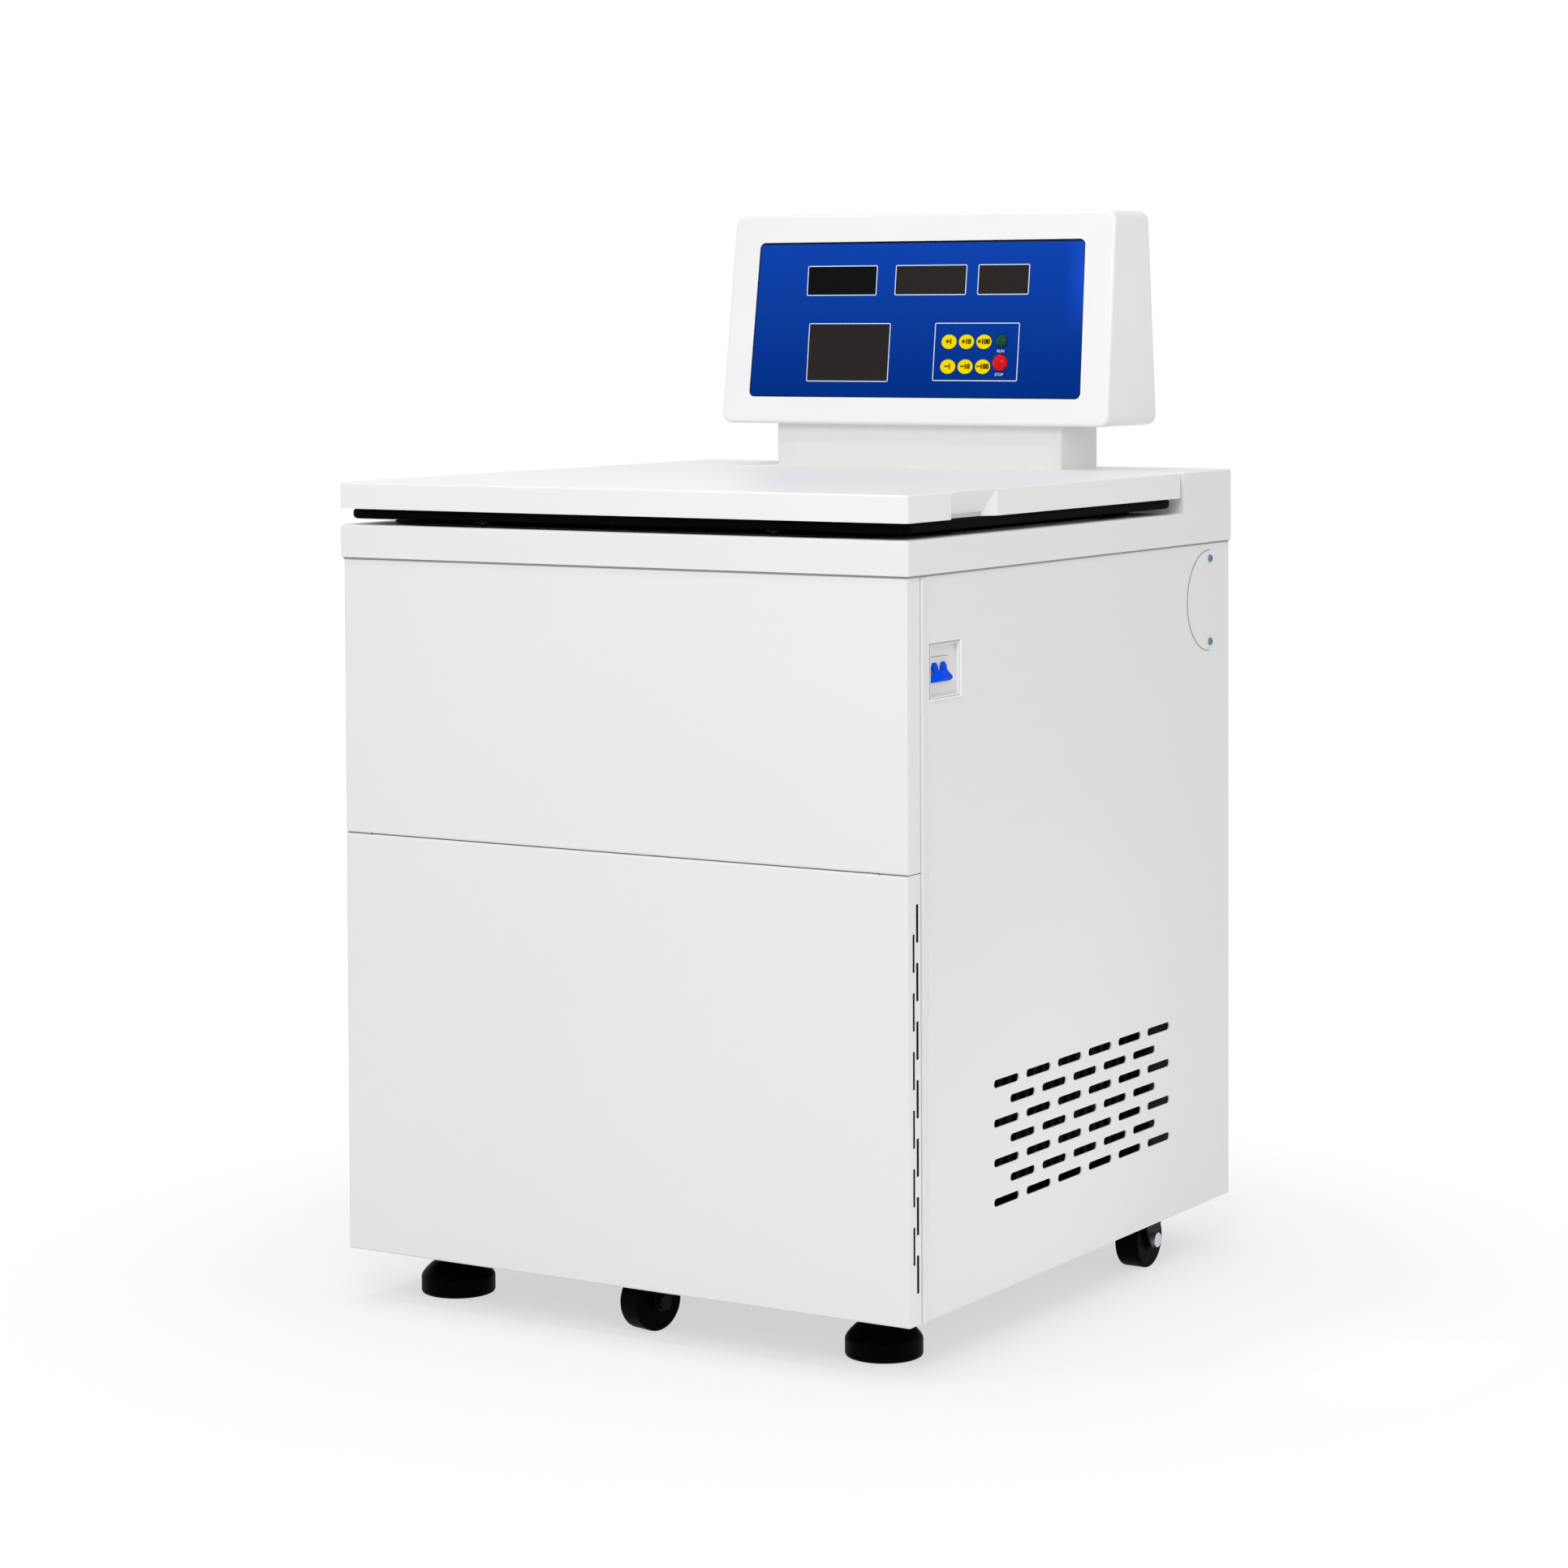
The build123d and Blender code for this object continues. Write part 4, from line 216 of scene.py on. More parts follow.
# %% A class for one finish
class Finish(NodeTree):
    """One surface finish of the machine, built round a Principled shader."""

    def __init__(self, name, color, roughness, **constants):
        self.material = bpy.data.materials.new(name)
        self.material.use_nodes = True
        super().__init__(self.material.node_tree)
        self.shader = self.tree.nodes["Principled BSDF"]
        self.color, self.roughness = color, roughness
        self.set("Base Color", (*color, 1))
        self.set("Roughness", roughness)
        for socket, value in constants.items():
            self.set(socket.replace("_", " "), value)
        self.material.diffuse_color = (*color, 1)

    def set(self, socket, value):
        self.join(self.shader.inputs[socket], value)

    def place(self):
        return self.node("ShaderNodeTexCoord", out="Object")

    def mapped(self, scale=(1, 1, 1), location=(0, 0, 0), rotation=(0, 0, 0)):
        return self.node("ShaderNodeMapping", {}, {"Vector": self.place(), "Scale": scale,
                                                   "Location": location, "Rotation": rotation})

    def axes(self, vector=None):
        """The X, Y and Z of a vector, or else of the place on the surface."""
        return self.node("ShaderNodeSeparateXYZ", {}, {0: vector or self.place()}, out=None)

    def length(self, vector):
        return self.node("ShaderNodeVectorMath", {"operation": "LENGTH"}, {0: vector}, out="Value")

    def ramp(self, value, low, high, start=0.0, kind="LINEAR"):
        """Climbs from a start to 1 while the value goes from low to high."""
        return self.node("ShaderNodeMapRange", {"interpolation_type": kind},
                         {"Value": value, "From Min": low, "From Max": high, "To Min": start})

    def noise(self, scale, detail=2.0, place=None):
        return self.node("ShaderNodeTexNoise", {}, {"Vector": place or self.place(),
                                                    "Scale": scale, "Detail": detail}, out="Fac")

    def blend(self, mask, low, high):
        """A colour that goes from low to high as the mask goes from 0 to 1."""
        return self.node("ShaderNodeMix", {"data_type": "RGBA"},
                         {0: mask, 6: low if isinstance(low, Wire) else (*low, 1),
                          7: high if isinstance(high, Wire) else (*high, 1)}, out=2)

    def wander(self, mask, darkest, lightest, swing=0.0):
        """A mask moves the colour between two shades, and the roughness by a swing each way."""
        self.set("Base Color", self.blend(mask, shaded(self.color, darkest),
                                          shaded(self.color, lightest)))
        if swing:
            self.set("Roughness", self.roughness - swing + mask * (2 * swing))

    def bump(self, height, depth):
        """Raises the surface by the height's share of a depth in metres."""
        self.set("Normal", self.node("ShaderNodeBump", {}, {"Height": height, "Distance": depth}))


def shaded(color, factor):
    """A colour made lighter or darker by a factor."""
    return tuple(min(1.0, channel * factor) for channel in color)


finishes = {}
print("Finish is ready")

# %% [markdown]
# ## Sheet metal: powder coat
#
# The cabinet, the lid and the neck are folded steel with a pale powder coat. It isn't flat: it has
# a skin like orange peel about two millimetres across, and its gloss wanders a little. Noise at
# that scale drives a very small bump, and a broad, weak noise moves colour and roughness.


# %% Powder coat
def powder_coat(name, color, roughness=0.42, peel=3.0e-5):
    finish = Finish(name, color, roughness)
    finish.wander(finish.noise(3.0, detail=3.0), 0.975, 1.02, swing=0.05)
    finish.bump(finish.noise(520.0), peel)
    return finish


finishes["cabinet_white"] = powder_coat("cabinet_powder_coat", (0.865, 0.868, 0.872))
# Painted light and shade: the lid's coat is a lighter copy, and the neck's a darker, warmer copy.
lid_painted_light_coat = powder_coat("lid_coat_painted_light", (0.907, 0.903, 0.900))
neck_painted_shade_coat = powder_coat("neck_coat_painted_shade", (0.862, 0.852, 0.833))
# This grey also serves as painted shade: the strip under the top frame, the ring round each hinge
# cover and the beads of the breaker window.
finishes["chassis_paint"] = powder_coat("chassis_coat_and_painted_shade", (0.31, 0.305, 0.295), 0.5)
finishes["lock_steel"] = powder_coat("lock_paint", (0.012, 0.012, 0.013), 0.5)
print("coats:", len(finishes))

# %% [markdown]
# ## Moulded plastics
#
# The head is a smooth satin moulding, the breaker and its pan are plain grey plastic, and the
# lid's liner, the feet and the gland are black with a fine grain. One recipe covers them: a grain
# bump whose scale and depth are given, a slow drift in colour, and a coat where the real one
# shines.


# %% Moulded plastic
def moulded(name, color, roughness, grain=900.0, depth=1.5e-5, coat=0.0, specular=0.5):
    finish = Finish(name, color, roughness, Coat_Weight=coat, Coat_Roughness=0.12,
                    Specular_IOR_Level=specular)
    finish.wander(finish.noise(6.0), 0.96, 1.03, swing=0.03)
    finish.bump(finish.noise(grain), depth)
    return finish


finishes["head_white"] = moulded("head_moulding", (0.93, 0.932, 0.935), 0.34, grain=260.0,
                                 depth=2.0e-5, coat=0.1)
finishes["breaker_grey"] = moulded("breaker_plastic", (0.84, 0.838, 0.828), 0.45, specular=0.2)
finishes["lever_blue"] = moulded("lever_plastic", (0.0, 0.09, 0.98), 0.34, grain=700.0,
                                 depth=1.0e-5, specular=0.01)
finishes["liner_black"] = moulded("liner_plastic", (0.0012, 0.0012, 0.0013), 0.6, grain=1100.0,
                                  depth=4.0e-5, specular=0.02)
finishes["gland_plastic"] = moulded("gland_moulding", (0.02, 0.02, 0.021), 0.5)
finishes["foot_black"] = moulded("foot_moulding", (0.0008, 0.0008, 0.0008), 0.42, grain=800.0,
                                 depth=4.0e-5, specular=0.02)
finishes["fan_plastic"] = moulded("fan_moulding", (0.018, 0.018, 0.02), 0.4)
print("plastics:", len(finishes))

# %% [markdown]
# ## The display head's film, lenses and buttons
#
# The blue face is a printed film with a satin sheen. Its colour darkens towards its foot as
# painted shade, and a painted highlight lightens its upper right corner. The lenses are smoked
# acrylic over dark modules, and the one at the upper left is darker, because its module is off.
# The keys are yellow caps, and RUN and STOP are smooth domes that catch a faint glint.


# %% Display film and lenses
def display_film():
    finish = Finish("display_film", (0.002, 0.045, 0.36), 0.34, Specular_IOR_Level=0.01)
    split = finish.axes()
    # Painted shade: the blue darkens from the top of the film down to its foot.
    painted_shade_rise = finish.ramp(split["Z"], 0.96, 1.14)
    # Painted highlight: the upper right corner is lightened to a paler blue.
    highlight_side = finish.ramp(split["X"], 0.192, 0.214)
    highlight_top = finish.ramp(split["Z"], 1.03, 1.09)
    painted_shade_blue = finish.blend(painted_shade_rise, (0.0004, 0.030, 0.235), (0.0055, 0.057, 0.43))
    finish.set("Base Color", finish.blend(highlight_side * highlight_top, painted_shade_blue, (0.009, 0.075, 0.60)))
    finish.bump(finish.noise(1400.0), 6.0e-6)
    return finish


def smoked_acrylic():
    finish = Finish("smoked_acrylic", (0.018, 0.015, 0.014), 0.16, Specular_IOR_Level=0.08)
    haze = finish.noise(12.0)
    split = finish.axes()
    left_half = split["X"].below(-0.05)
    upper_half = split["Z"].above(1.07)
    dark_back = (0.0003, 0.0003, 0.0006)
    lit_back = finish.blend(haze, (0.0165, 0.0135, 0.0128), (0.0215, 0.0175, 0.0165))
    finish.set("Roughness", 0.14 + haze * 0.08)
    finish.set("Base Color", finish.blend(left_half * upper_half, lit_back, dark_back))
    finish.bump(finish.noise(60.0, detail=1.0), 4.0e-6)
    return finish


finishes["panel_blue"] = display_film()
finishes["smoked_lens"] = smoked_acrylic()
finishes["key_yellow"] = moulded("key_cap", (0.95, 0.74, 0.0), 0.34, grain=700.0, depth=1.0e-5,
                                 specular=0.03)
finishes["run_green"] = moulded("run_dome", (0.0, 0.060, 0.030), 0.06, grain=300.0, depth=2.0e-6,
                                specular=0.14)
finishes["stop_red"] = moulded("stop_dome", (0.72, 0.0, 0.004), 0.06, grain=300.0, depth=2.0e-6,
                               specular=0.14)
print("with the head's own:", len(finishes))

# %% [markdown]
# ## Bare metals
#
# Brushed metal shows fine lines that run one way, so its noise is stretched along one axis. On the
# bowl and the rotor the lines run round the rotor's axis as a lathe leaves them. There the noise
# reads the radius and the height, which are equal all the way round. The coil's fins are painted
# nearly black as painted shade, for the dark space behind the vents.


# %% Brushed and turned metal
lathe_scale = 900.0


def brushed(name, color, roughness, stretch, depth=1.2e-5):
    finish = Finish(name, color, roughness, Metallic=1.0)
    lines = finish.noise(1.0, 4.0, finish.mapped(scale=stretch))
    finish.wander(lines, 0.92, 1.05, swing=0.08)
    finish.bump(lines, depth)
    return finish


def turned(name, color, roughness, centre, depth=1.0e-5):
    finish = Finish(name, color, roughness, Metallic=1.0)
    split = finish.axes(finish.mapped(location=(-centre[0], -centre[1], 0)))
    flat = finish.node("ShaderNodeCombineXYZ", {}, {"X": split["X"], "Y": split["Y"]})
    ring = finish.node("ShaderNodeCombineXYZ", {}, {"X": finish.length(flat) * lathe_scale,
                                                    "Y": split["Z"] * lathe_scale})
    lines = finish.noise(1.0, 3.0, ring)
    finish.wander(lines, 0.93, 1.04, swing=0.07)
    finish.bump(lines, depth)
    return finish


rotor_centre = (0.0, -0.065)
finishes["bright_steel"] = brushed("zinc_steel", (0.62, 0.66, 0.72), 0.32, (300, 300, 300))
# Painted shade: the fins are nearly black so that the vents look dark.
finishes["coil_aluminium"] = brushed("coil_fins_painted_shade", (0.006, 0.006, 0.0065), 0.6, (80, 900, 12))
finishes["inverter_paint"] = brushed("cast_case", (0.42, 0.43, 0.45), 0.5, (400, 400, 60))
finishes["bucket_steel"] = brushed("bucket_wall", (0.56, 0.57, 0.60), 0.24, (40, 40, 900))
finishes["bowl_steel"] = turned("bowl_wall", (0.60, 0.61, 0.63), 0.3, rotor_centre)
finishes["yoke_steel"] = turned("yoke_facing", (0.48, 0.49, 0.52), 0.34, rotor_centre)
finishes["nut_aluminium"] = turned("nut_facing", (0.62, 0.63, 0.65), 0.3, rotor_centre)
print("with the metals:", len(finishes))

# %% [markdown]
# ## Rubber, foam, castings and the circuit board
#
# These pieces are seen with the lid up, from below or through the vents, and each still gets its
# own surface: mottled rubber, pores in the foam, a coarse cast skin and a printed board.


# %% Rubber, foam, castings and board
quarter_turn = 1.5708


def rubber(name, color, roughness):
    finish = Finish(name, color, roughness, Specular_IOR_Level=0.02)
    finish.wander(finish.noise(45.0, detail=4.0), 0.8, 1.35, swing=0.06)
    finish.bump(finish.noise(650.0, detail=3.0), 5.0e-5)
    return finish


def rigid_foam():
    finish = Finish("rigid_foam", (0.72, 0.62, 0.36), 0.85)
    cell = finish.node("ShaderNodeTexVoronoi", {}, {"Vector": finish.place(), "Scale": 420.0},
                       out="Distance")
    finish.set("Base Color", finish.blend(cell, (0.78, 0.69, 0.44), (0.55, 0.45, 0.24)))
    finish.bump(1.0 - cell, 3.0e-4)
    return finish


def cast_skin(name, color, roughness, specular=0.08):
    finish = Finish(name, color, roughness, Specular_IOR_Level=specular)
    sand = finish.noise(380.0, detail=4.0)
    finish.wander(finish.noise(9.0, detail=3.0), 0.82, 1.15)
    finish.set("Roughness", roughness - 0.05 + sand * 0.1)
    finish.bump(sand, 1.0e-4)
    return finish


def circuit_board():
    finish = Finish("printed_board", (0.01, 0.10, 0.04), 0.4, Coat_Weight=0.3)
    upright = finish.mapped(rotation=(quarter_turn, 0, 0))
    tracks = finish.node("ShaderNodeTexBrick", {}, {"Vector": upright, "Scale": 60.0,
                                                    "Mortar Size": 0.03}, out="Fac")
    finish.set("Base Color", finish.blend(tracks, (0.008, 0.085, 0.035), (0.02, 0.16, 0.06)))
    finish.bump(tracks, 2.0e-5)
    return finish


# Besides the real seals, this rubber serves as painted shade: the joint strips, the patches over
# the slits, the panel gasket's top band and, in part, the lid mat.
finishes["seal_rubber"] = rubber("seal_rubber", (0.006, 0.006, 0.0065), 0.6)
finishes["wheel_black"] = rubber("wheel_rubber", (0.0009, 0.0009, 0.001), 0.46)
finishes["foam"] = rigid_foam()
finishes["motor_iron"] = cast_skin("motor_casting", (0.07, 0.085, 0.11), 0.5)
finishes["compressor_black"] = cast_skin("compressor_enamel", (0.006, 0.006, 0.007), 0.3,
                                         specular=0.35)
finishes["bracket_black"] = cast_skin("caster_enamel", (0.005, 0.005, 0.0055), 0.38)
finishes["circuit_green"] = circuit_board()
print("all finishes:", len(finishes))

# %% [markdown]
# ## Put the finishes on
#
# Each solid node names a material slot in the record. Every finish above is filed under the slot
# it belongs to, so one loop dresses the whole machine and no node is left with its plain colour.
# The lid gets a lighter copy of the coat as painted light, and the neck a darker, warmer copy as
# painted shade, so each gets its own coat.

# %% Dress every node
for subpart in frame["record"]["subparts"]:
    solid = nodes[subpart["node"]]
    solid.data.materials.clear()
    solid.data.materials.append(finishes[subpart["material_slot"]].material)
nodes["lid_shell"].data.materials[0] = lid_painted_light_coat.material
nodes["neck_column"].data.materials[0] = neck_painted_shade_coat.material

# %% [markdown]
# ## The floor
#
# A real floor would show its far edge behind the machine. This one is a pale plane that takes a
# faint shadow close by, and further out it is plain white to the camera, as the world is. The two
# are mixed by the distance from the machine's middle.

# %% Lay the floor
floor_width = 60
near_glow, glow_from, glow_full = 0.6, 0.40, 0.95
floor_finish = Finish("studio_floor", (0.93, 0.93, 0.93), 0.9)
from_middle = floor_finish.length(floor_finish.place())
far_off = floor_finish.ramp(from_middle, glow_from, glow_full, near_glow, "SMOOTHSTEP")
floor_rays = floor_finish.node("ShaderNodeLightPath", out=None)
floor_seen = floor_rays["Is Camera Ray"].larger(floor_rays["Is Glossy Ray"])
floor_glow = floor_finish.node("ShaderNodeEmission", {}, {"Color": white, "Strength": 1.0})
floor_paint = Wire(floor_finish, floor_finish.shader.outputs[0])
floor_mixed = floor_finish.node("ShaderNodeMixShader", {}, {0: far_off * floor_seen,
                                                            1: floor_paint, 2: floor_glow})
floor_finish.join(floor_finish.tree.nodes["Material Output"].inputs["Surface"], floor_mixed)

bpy.ops.object.select_all(action="DESELECT")
bpy.ops.mesh.primitive_plane_add(size=floor_width)
floor = bpy.context.object
floor.name = "studio_floor"
floor.data.materials.append(floor_finish.material)
print("floor laid")

# %% [markdown]
# ## The face of the head
#
# The head's front leans back about seven degrees. What is printed on it is placed with a matrix
# whose X runs to the right, whose Y climbs the face and whose Z stands out of it. A piece is first
# made flat round the origin, then the matrix is applied to its mesh, so its object stays at the
# origin.

# %% The face matrix
face_setback, face_rise = 29.4, 244
face_foot = (0, 0.2443, 0.929)
film_level = -0.0008
lean = math.atan(face_setback / face_rise)
face_turn = Matrix(((1, 0, 0),
                    (0, math.sin(lean), -math.cos(lean)),
                    (0, math.cos(lean), math.sin(lean))))
face = Matrix.Translation(face_foot) @ face_turn.to_4x4()
print("face leans", round(math.degrees(lean), 2), "degrees")


# %% A helper that ends each piece the same way
def settle(piece, name, matrix, slot, body, finish=None):
    """Applies a place to a piece's mesh, names it, paints it and lets it ride on a body."""
    piece.data.transform(matrix)
    piece.name = name
    piece.data.name = name
    piece.data.materials.clear()
    piece.data.materials.append((finish or finishes[slot]).material)
    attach(piece, body)
    return piece


def printing_ink(name, color, roughness):
    """Ink of a screen print: an even colour with a slightly rough, grainy skin."""
    finish = Finish(name, color, roughness, Specular_IOR_Level=0.05)
    grain = finish.noise(1800.0)
    finish.wander(grain, 0.93, 1.03)
    finish.bump(grain, 1.0e-5)
    return finish


white_ink = printing_ink("white_ink", (0.90, 0.94, 1.0), 0.5)
black_ink = printing_ink("black_ink", (0.002, 0.002, 0.002), 0.6)
print("inks are mixed")

# %% [markdown]
# ## Picking corners, and flat pieces
#
# By hand, one would drag a box round the corners to move. In code, a small function goes through
# the corners and selects those whose place passes a test, and the next edit operator acts on them.
# The flat pieces below share their steps: a plate or a disc gets round corners, may be opened so
# that only a border stays, and is then thickened.


# %% Helpers for picking and for flat pieces
def pick(piece, test):
    """Selects the corners that pass a test, and leaves the piece in edit mode."""
    bpy.ops.object.mode_set(mode="EDIT")
    bpy.ops.mesh.select_mode(type="VERT")
    bpy.ops.mesh.select_all(action="DESELECT")
    bpy.ops.object.mode_set(mode="OBJECT")
    for corner in piece.data.vertices:
        corner.select = test(corner.co)
    bpy.ops.object.mode_set(mode="EDIT")


def bevel_edges(width, segments):
    """Rounds the edges of whatever is selected, and leaves edit mode."""
    bpy.ops.mesh.bevel(offset=width, segments=segments, affect="EDGES")
    bpy.ops.object.mode_set(mode="OBJECT")


def plate(width, depth, middle=(0, 0, 0)):
    """A flat rectangle, left in edit mode."""
    bpy.ops.object.select_all(action="DESELECT")
    bpy.ops.mesh.primitive_plane_add(size=1, location=middle)
    made = bpy.context.object
    made.scale = (width, depth, 1)
    bpy.ops.object.transform_apply(location=True, scale=True)
    bpy.ops.object.mode_set(mode="EDIT")
    return made


def disc(radius, vertices):
    """A flat disc round the origin, left in edit mode."""
    bpy.ops.object.select_all(action="DESELECT")
    bpy.ops.mesh.primitive_circle_add(vertices=vertices, radius=radius, fill_type="NGON")
    bpy.ops.object.mode_set(mode="EDIT")
    bpy.ops.mesh.select_all(action="SELECT")
    return bpy.context.object


def round_corners(radius, segments):
    bpy.ops.mesh.select_all(action="SELECT")
    bpy.ops.mesh.bevel(offset=radius, segments=segments, affect="VERTICES")


def open_middle(border):
    """Insets the flat piece by the width of its border and deletes what lies within."""
    bpy.ops.mesh.select_all(action="SELECT")
    bpy.ops.mesh.inset(thickness=border, depth=0, use_select_inset=False)
    bpy.ops.mesh.delete(type="FACE")


def turn_outwards():
    """Makes all normals point outwards, and leaves edit mode."""
    bpy.ops.mesh.select_all(action="SELECT")
    bpy.ops.mesh.normals_make_consistent(inside=False)
    bpy.ops.object.mode_set(mode="OBJECT")


def thicken(thickness):
    """Extrudes the flat piece upwards, and leaves edit mode."""
    bpy.ops.mesh.select_all(action="SELECT")
    bpy.ops.mesh.extrude_region_move(TRANSFORM_OT_translate={"value": (0, 0, thickness)})
    turn_outwards()


print("flat helpers are ready")

# %% [markdown]
# ## Solid pieces, cuts and copies
#
# The other pieces start as blocks, as cylinders or as prisms over a drawn outline. Booleans cut
# them, join them or keep what two of them share. A repeated piece is modelled once, and each copy
# gets a mesh of its own. A piece that lies on a surface stands a hair off it, so that the two
# never flicker.

# %% Helpers for solid pieces
sides = {"right": 1, "left": -1}
hair = 0.00002


def make_active(piece):
    bpy.ops.object.select_all(action="DESELECT")
    piece.select_set(True)
    bpy.context.view_layer.objects.active = piece


def block(low, high):
    """A plain block between two corners."""
    bpy.ops.object.select_all(action="DESELECT")
    bpy.ops.mesh.primitive_cube_add(size=1, location=(Vector(low) + Vector(high)) / 2)
    made = bpy.context.object
    made.scale = Vector(high) - Vector(low)
    bpy.ops.object.transform_apply(location=True, scale=True)
    return made


def side_block(side, near, far, front, back, low, high):
    """A block on one side of the cabinet, between two distances from its middle plane."""
    left, right = sorted((side * near, side * far))
    return block((left, front, low), (right, back, high))


def cylinder(radius, depth, middle, vertices):
    """An upright cylinder."""
    bpy.ops.object.select_all(action="DESELECT")
    bpy.ops.mesh.primitive_cylinder_add(vertices=vertices, radius=radius, depth=depth,
                                        location=middle)
    bpy.ops.object.transform_apply(location=True)
    return bpy.context.object


def flat_prism(outline, low, high, place):
    """A prism over a flat outline, drawn as a closed curve and turned into a mesh."""
    curve = bpy.data.curves.new("outline", "CURVE")
    curve.dimensions = "2D"
    curve.fill_mode = "BOTH"
    line = curve.splines.new("POLY")
    line.points.add(len(outline) - 1)
    for point, (across, up) in zip(line.points, outline):
        point.co = (across, up, 0, 1)
    line.use_cyclic_u = True
    curve.extrude = (high - low) / 2
    made = bpy.data.objects.new("prism", curve)
    bpy.context.collection.objects.link(made)
    make_active(made)
    bpy.ops.object.convert(target="MESH")
    made = bpy.context.object
    bpy.ops.object.mode_set(mode="EDIT")
    bpy.ops.mesh.select_all(action="SELECT")
    bpy.ops.mesh.remove_doubles(threshold=0.000001)
    turn_outwards()
    made.data.transform(place @ Matrix.Translation((0, 0, (low + high) / 2)))
    return made


def cut(piece, cutter, operation="DIFFERENCE"):
    """Cuts one mesh out of another, or joins or crosses the two, and removes the cutter."""
    make_active(piece)
    hole = piece.modifiers.new("hole", "BOOLEAN")
    hole.operation = operation
    hole.object = cutter
    bpy.ops.object.modifier_apply(modifier="hole")
    bpy.data.objects.remove(cutter)


def copy_of(pattern):
    """A copy of a pattern, with its own mesh."""
    copy = pattern.copy()
    copy.data = pattern.data.copy()
    bpy.context.collection.objects.link(copy)
    return copy


def on_side(side, out, along, height):
    """The place of a piece that was made lying flat and belongs upright on one side."""
    stand_up = Matrix(((0, 0, side, 0), (1, 0, 0, 0), (0, side, 0, 0), (0, 0, 0, 1)))
    return Matrix.Translation((side * out, along, height)) @ stand_up


print("solid helpers are ready")

# %% [markdown]
# ## Printed outlines
#
# A fine white line frames each lens and the keypad. Each is modelled as a thin raised frame: the
# corners of a plane are rounded, it is inset by the line's width, its middle is deleted, and it is
# extruded by the thickness of the ink. A texture could do it too, but a mesh keeps its edge sharp
# in any view.

# %% Print a frame round each window
line_width, line_corner, ink_thickness = 0.0009, 0.0018, 0.00015
outline_margin = 0.0026
lenses = {"speed": ((-0.101, 0.168), 0.0917, 0.0325),
          "time": ((0.0177, 0.168), 0.0917, 0.0325),
          "temperature": ((0.113, 0.168), 0.064, 0.0325),
          "screen": ((-0.0872, 0.0839), 0.1075, 0.0657)}


def printed_frame(name, centre, width, height):
    outline = plate(width, height)
    round_corners(line_corner, 5)
    open_middle(line_width)
    thicken(ink_thickness)
    place = face @ Matrix.Translation((*centre, film_level))
    return settle(outline, name, place, "head_white", "cabinet", white_ink)


for lens, (centre, width, height) in lenses.items():
    printed_frame(f"{lens}_outline", centre, width + outline_margin, height + outline_margin)
keypad_outline = printed_frame("keypad_outline", (0.08215, 0.0848), 0.1103, 0.067)
print("keypad frame:", [round(v, 4) for v in keypad_outline.dimensions])

# %% [markdown]
# ## Legends
#
# Keys carry steps of +1, +10, +100 and the same below zero, and the two domes are marked RUN and
# STOP. Text is turned into a mesh before it is placed. The key legends ride on their keys, so they
# go in with them, and each stands a tenth of a millimetre proud of its cap like pad print.

# %% Print the legends
half_print = 0.00005
key_level = -0.0003
key_size, key_weight, dome_size = 0.0076, 0.06, 0.0046
key_columns = {"1": 0.0465, "10": 0.0693, "100": 0.0921}
key_rows = {"plus": ("+", 0.0964), "minus": ("−", 0.0678)}
dome_places = {"RUN": (0.1143, 0.0857), "STOP": (0.1137, 0.0588)}


def legend(name, words, centre, size, level, slot, body, ink, weight=0.0):
    bpy.ops.object.select_all(action="DESELECT")
    bpy.ops.object.text_add()
    text = bpy.context.object
    text.data.body = words
    text.data.size = size
    text.data.align_x = "CENTER"
    text.data.align_y = "CENTER"
    text.data.extrude = half_print
    text.data.offset = size * weight
    text.data.resolution_u = 4
    bpy.ops.object.convert(target="MESH")
    place = face @ Matrix.Translation((*centre, level + half_print))
    settle(text, name, place, slot, body, ink)


for sign, (mark, row) in key_rows.items():
    for step, column in key_columns.items():
        key = f"key_{sign}_{step}"
        legend(f"{key}_legend", mark + step, (column, row), key_size, key_level, "key_yellow", key,
               black_ink, key_weight)
for words, centre in dome_places.items():
    legend(f"{words.lower()}_legend", words, centre, dome_size, film_level, "head_white",
           "cabinet", white_ink)
print("legends printed")

# %% [markdown]
# ## The gasket of the display panel
#
# The blue panel lies in a pocket of the moulding with a thin dark gasket round it, which shows as
# a fine outline. Its wider band along the top is painted shade, from the pocket's upper lip. It is
# a flat trapezoid whose corners are rounded, inset by the gasket's width and opened. Its upper
# inner edge is then moved down, and it is thickened.

# %% Lay the panel gasket
panel_low, panel_high = 0.0316, 0.2132
panel_low_width, panel_high_width = 0.4386, 0.4306
gasket_width, gasket_corner, gasket_thickness = 0.0008, 0.007, 0.0004
top_shade_extra, near_top = 0.0010, 0.0010
inner_edge_low, inner_edge_high = panel_high - 0.0015, panel_high - 0.0007

gasket = plate(panel_low_width, panel_high - panel_low, (0, (panel_low + panel_high) / 2, 0))
pick(gasket, lambda corner: corner.y > panel_high - near_top)
bpy.ops.transform.resize(value=(panel_high_width / panel_low_width, 1, 1))
round_corners(gasket_corner, 8)
open_middle(gasket_width)
# Painted shade: the top band is widened to stand for the shade under the pocket's lip.
pick(gasket, lambda corner: inner_edge_low < corner.y < inner_edge_high)
bpy.ops.transform.translate(value=(0, -top_shade_extra, 0))
thicken(gasket_thickness)
settle(gasket, "panel_gasket", face @ Matrix.Translation((0, 0, film_level + hair)),
       "seal_rubber", "cabinet")
print("gasket:", [round(v, 4) for v in gasket.dimensions])

# %% [markdown]
# ## The painted shadow under the top frame
#
# A grey strip in the joint between the top frame and the panels below it is painted shadow: it
# stands for the shade under the frame's overhang. Only its edge shows, as a soft line that runs
# round the cabinet. It is one rectangle, inset and opened in the same way as the printed outlines,
# and extruded upwards until it meets the frame.

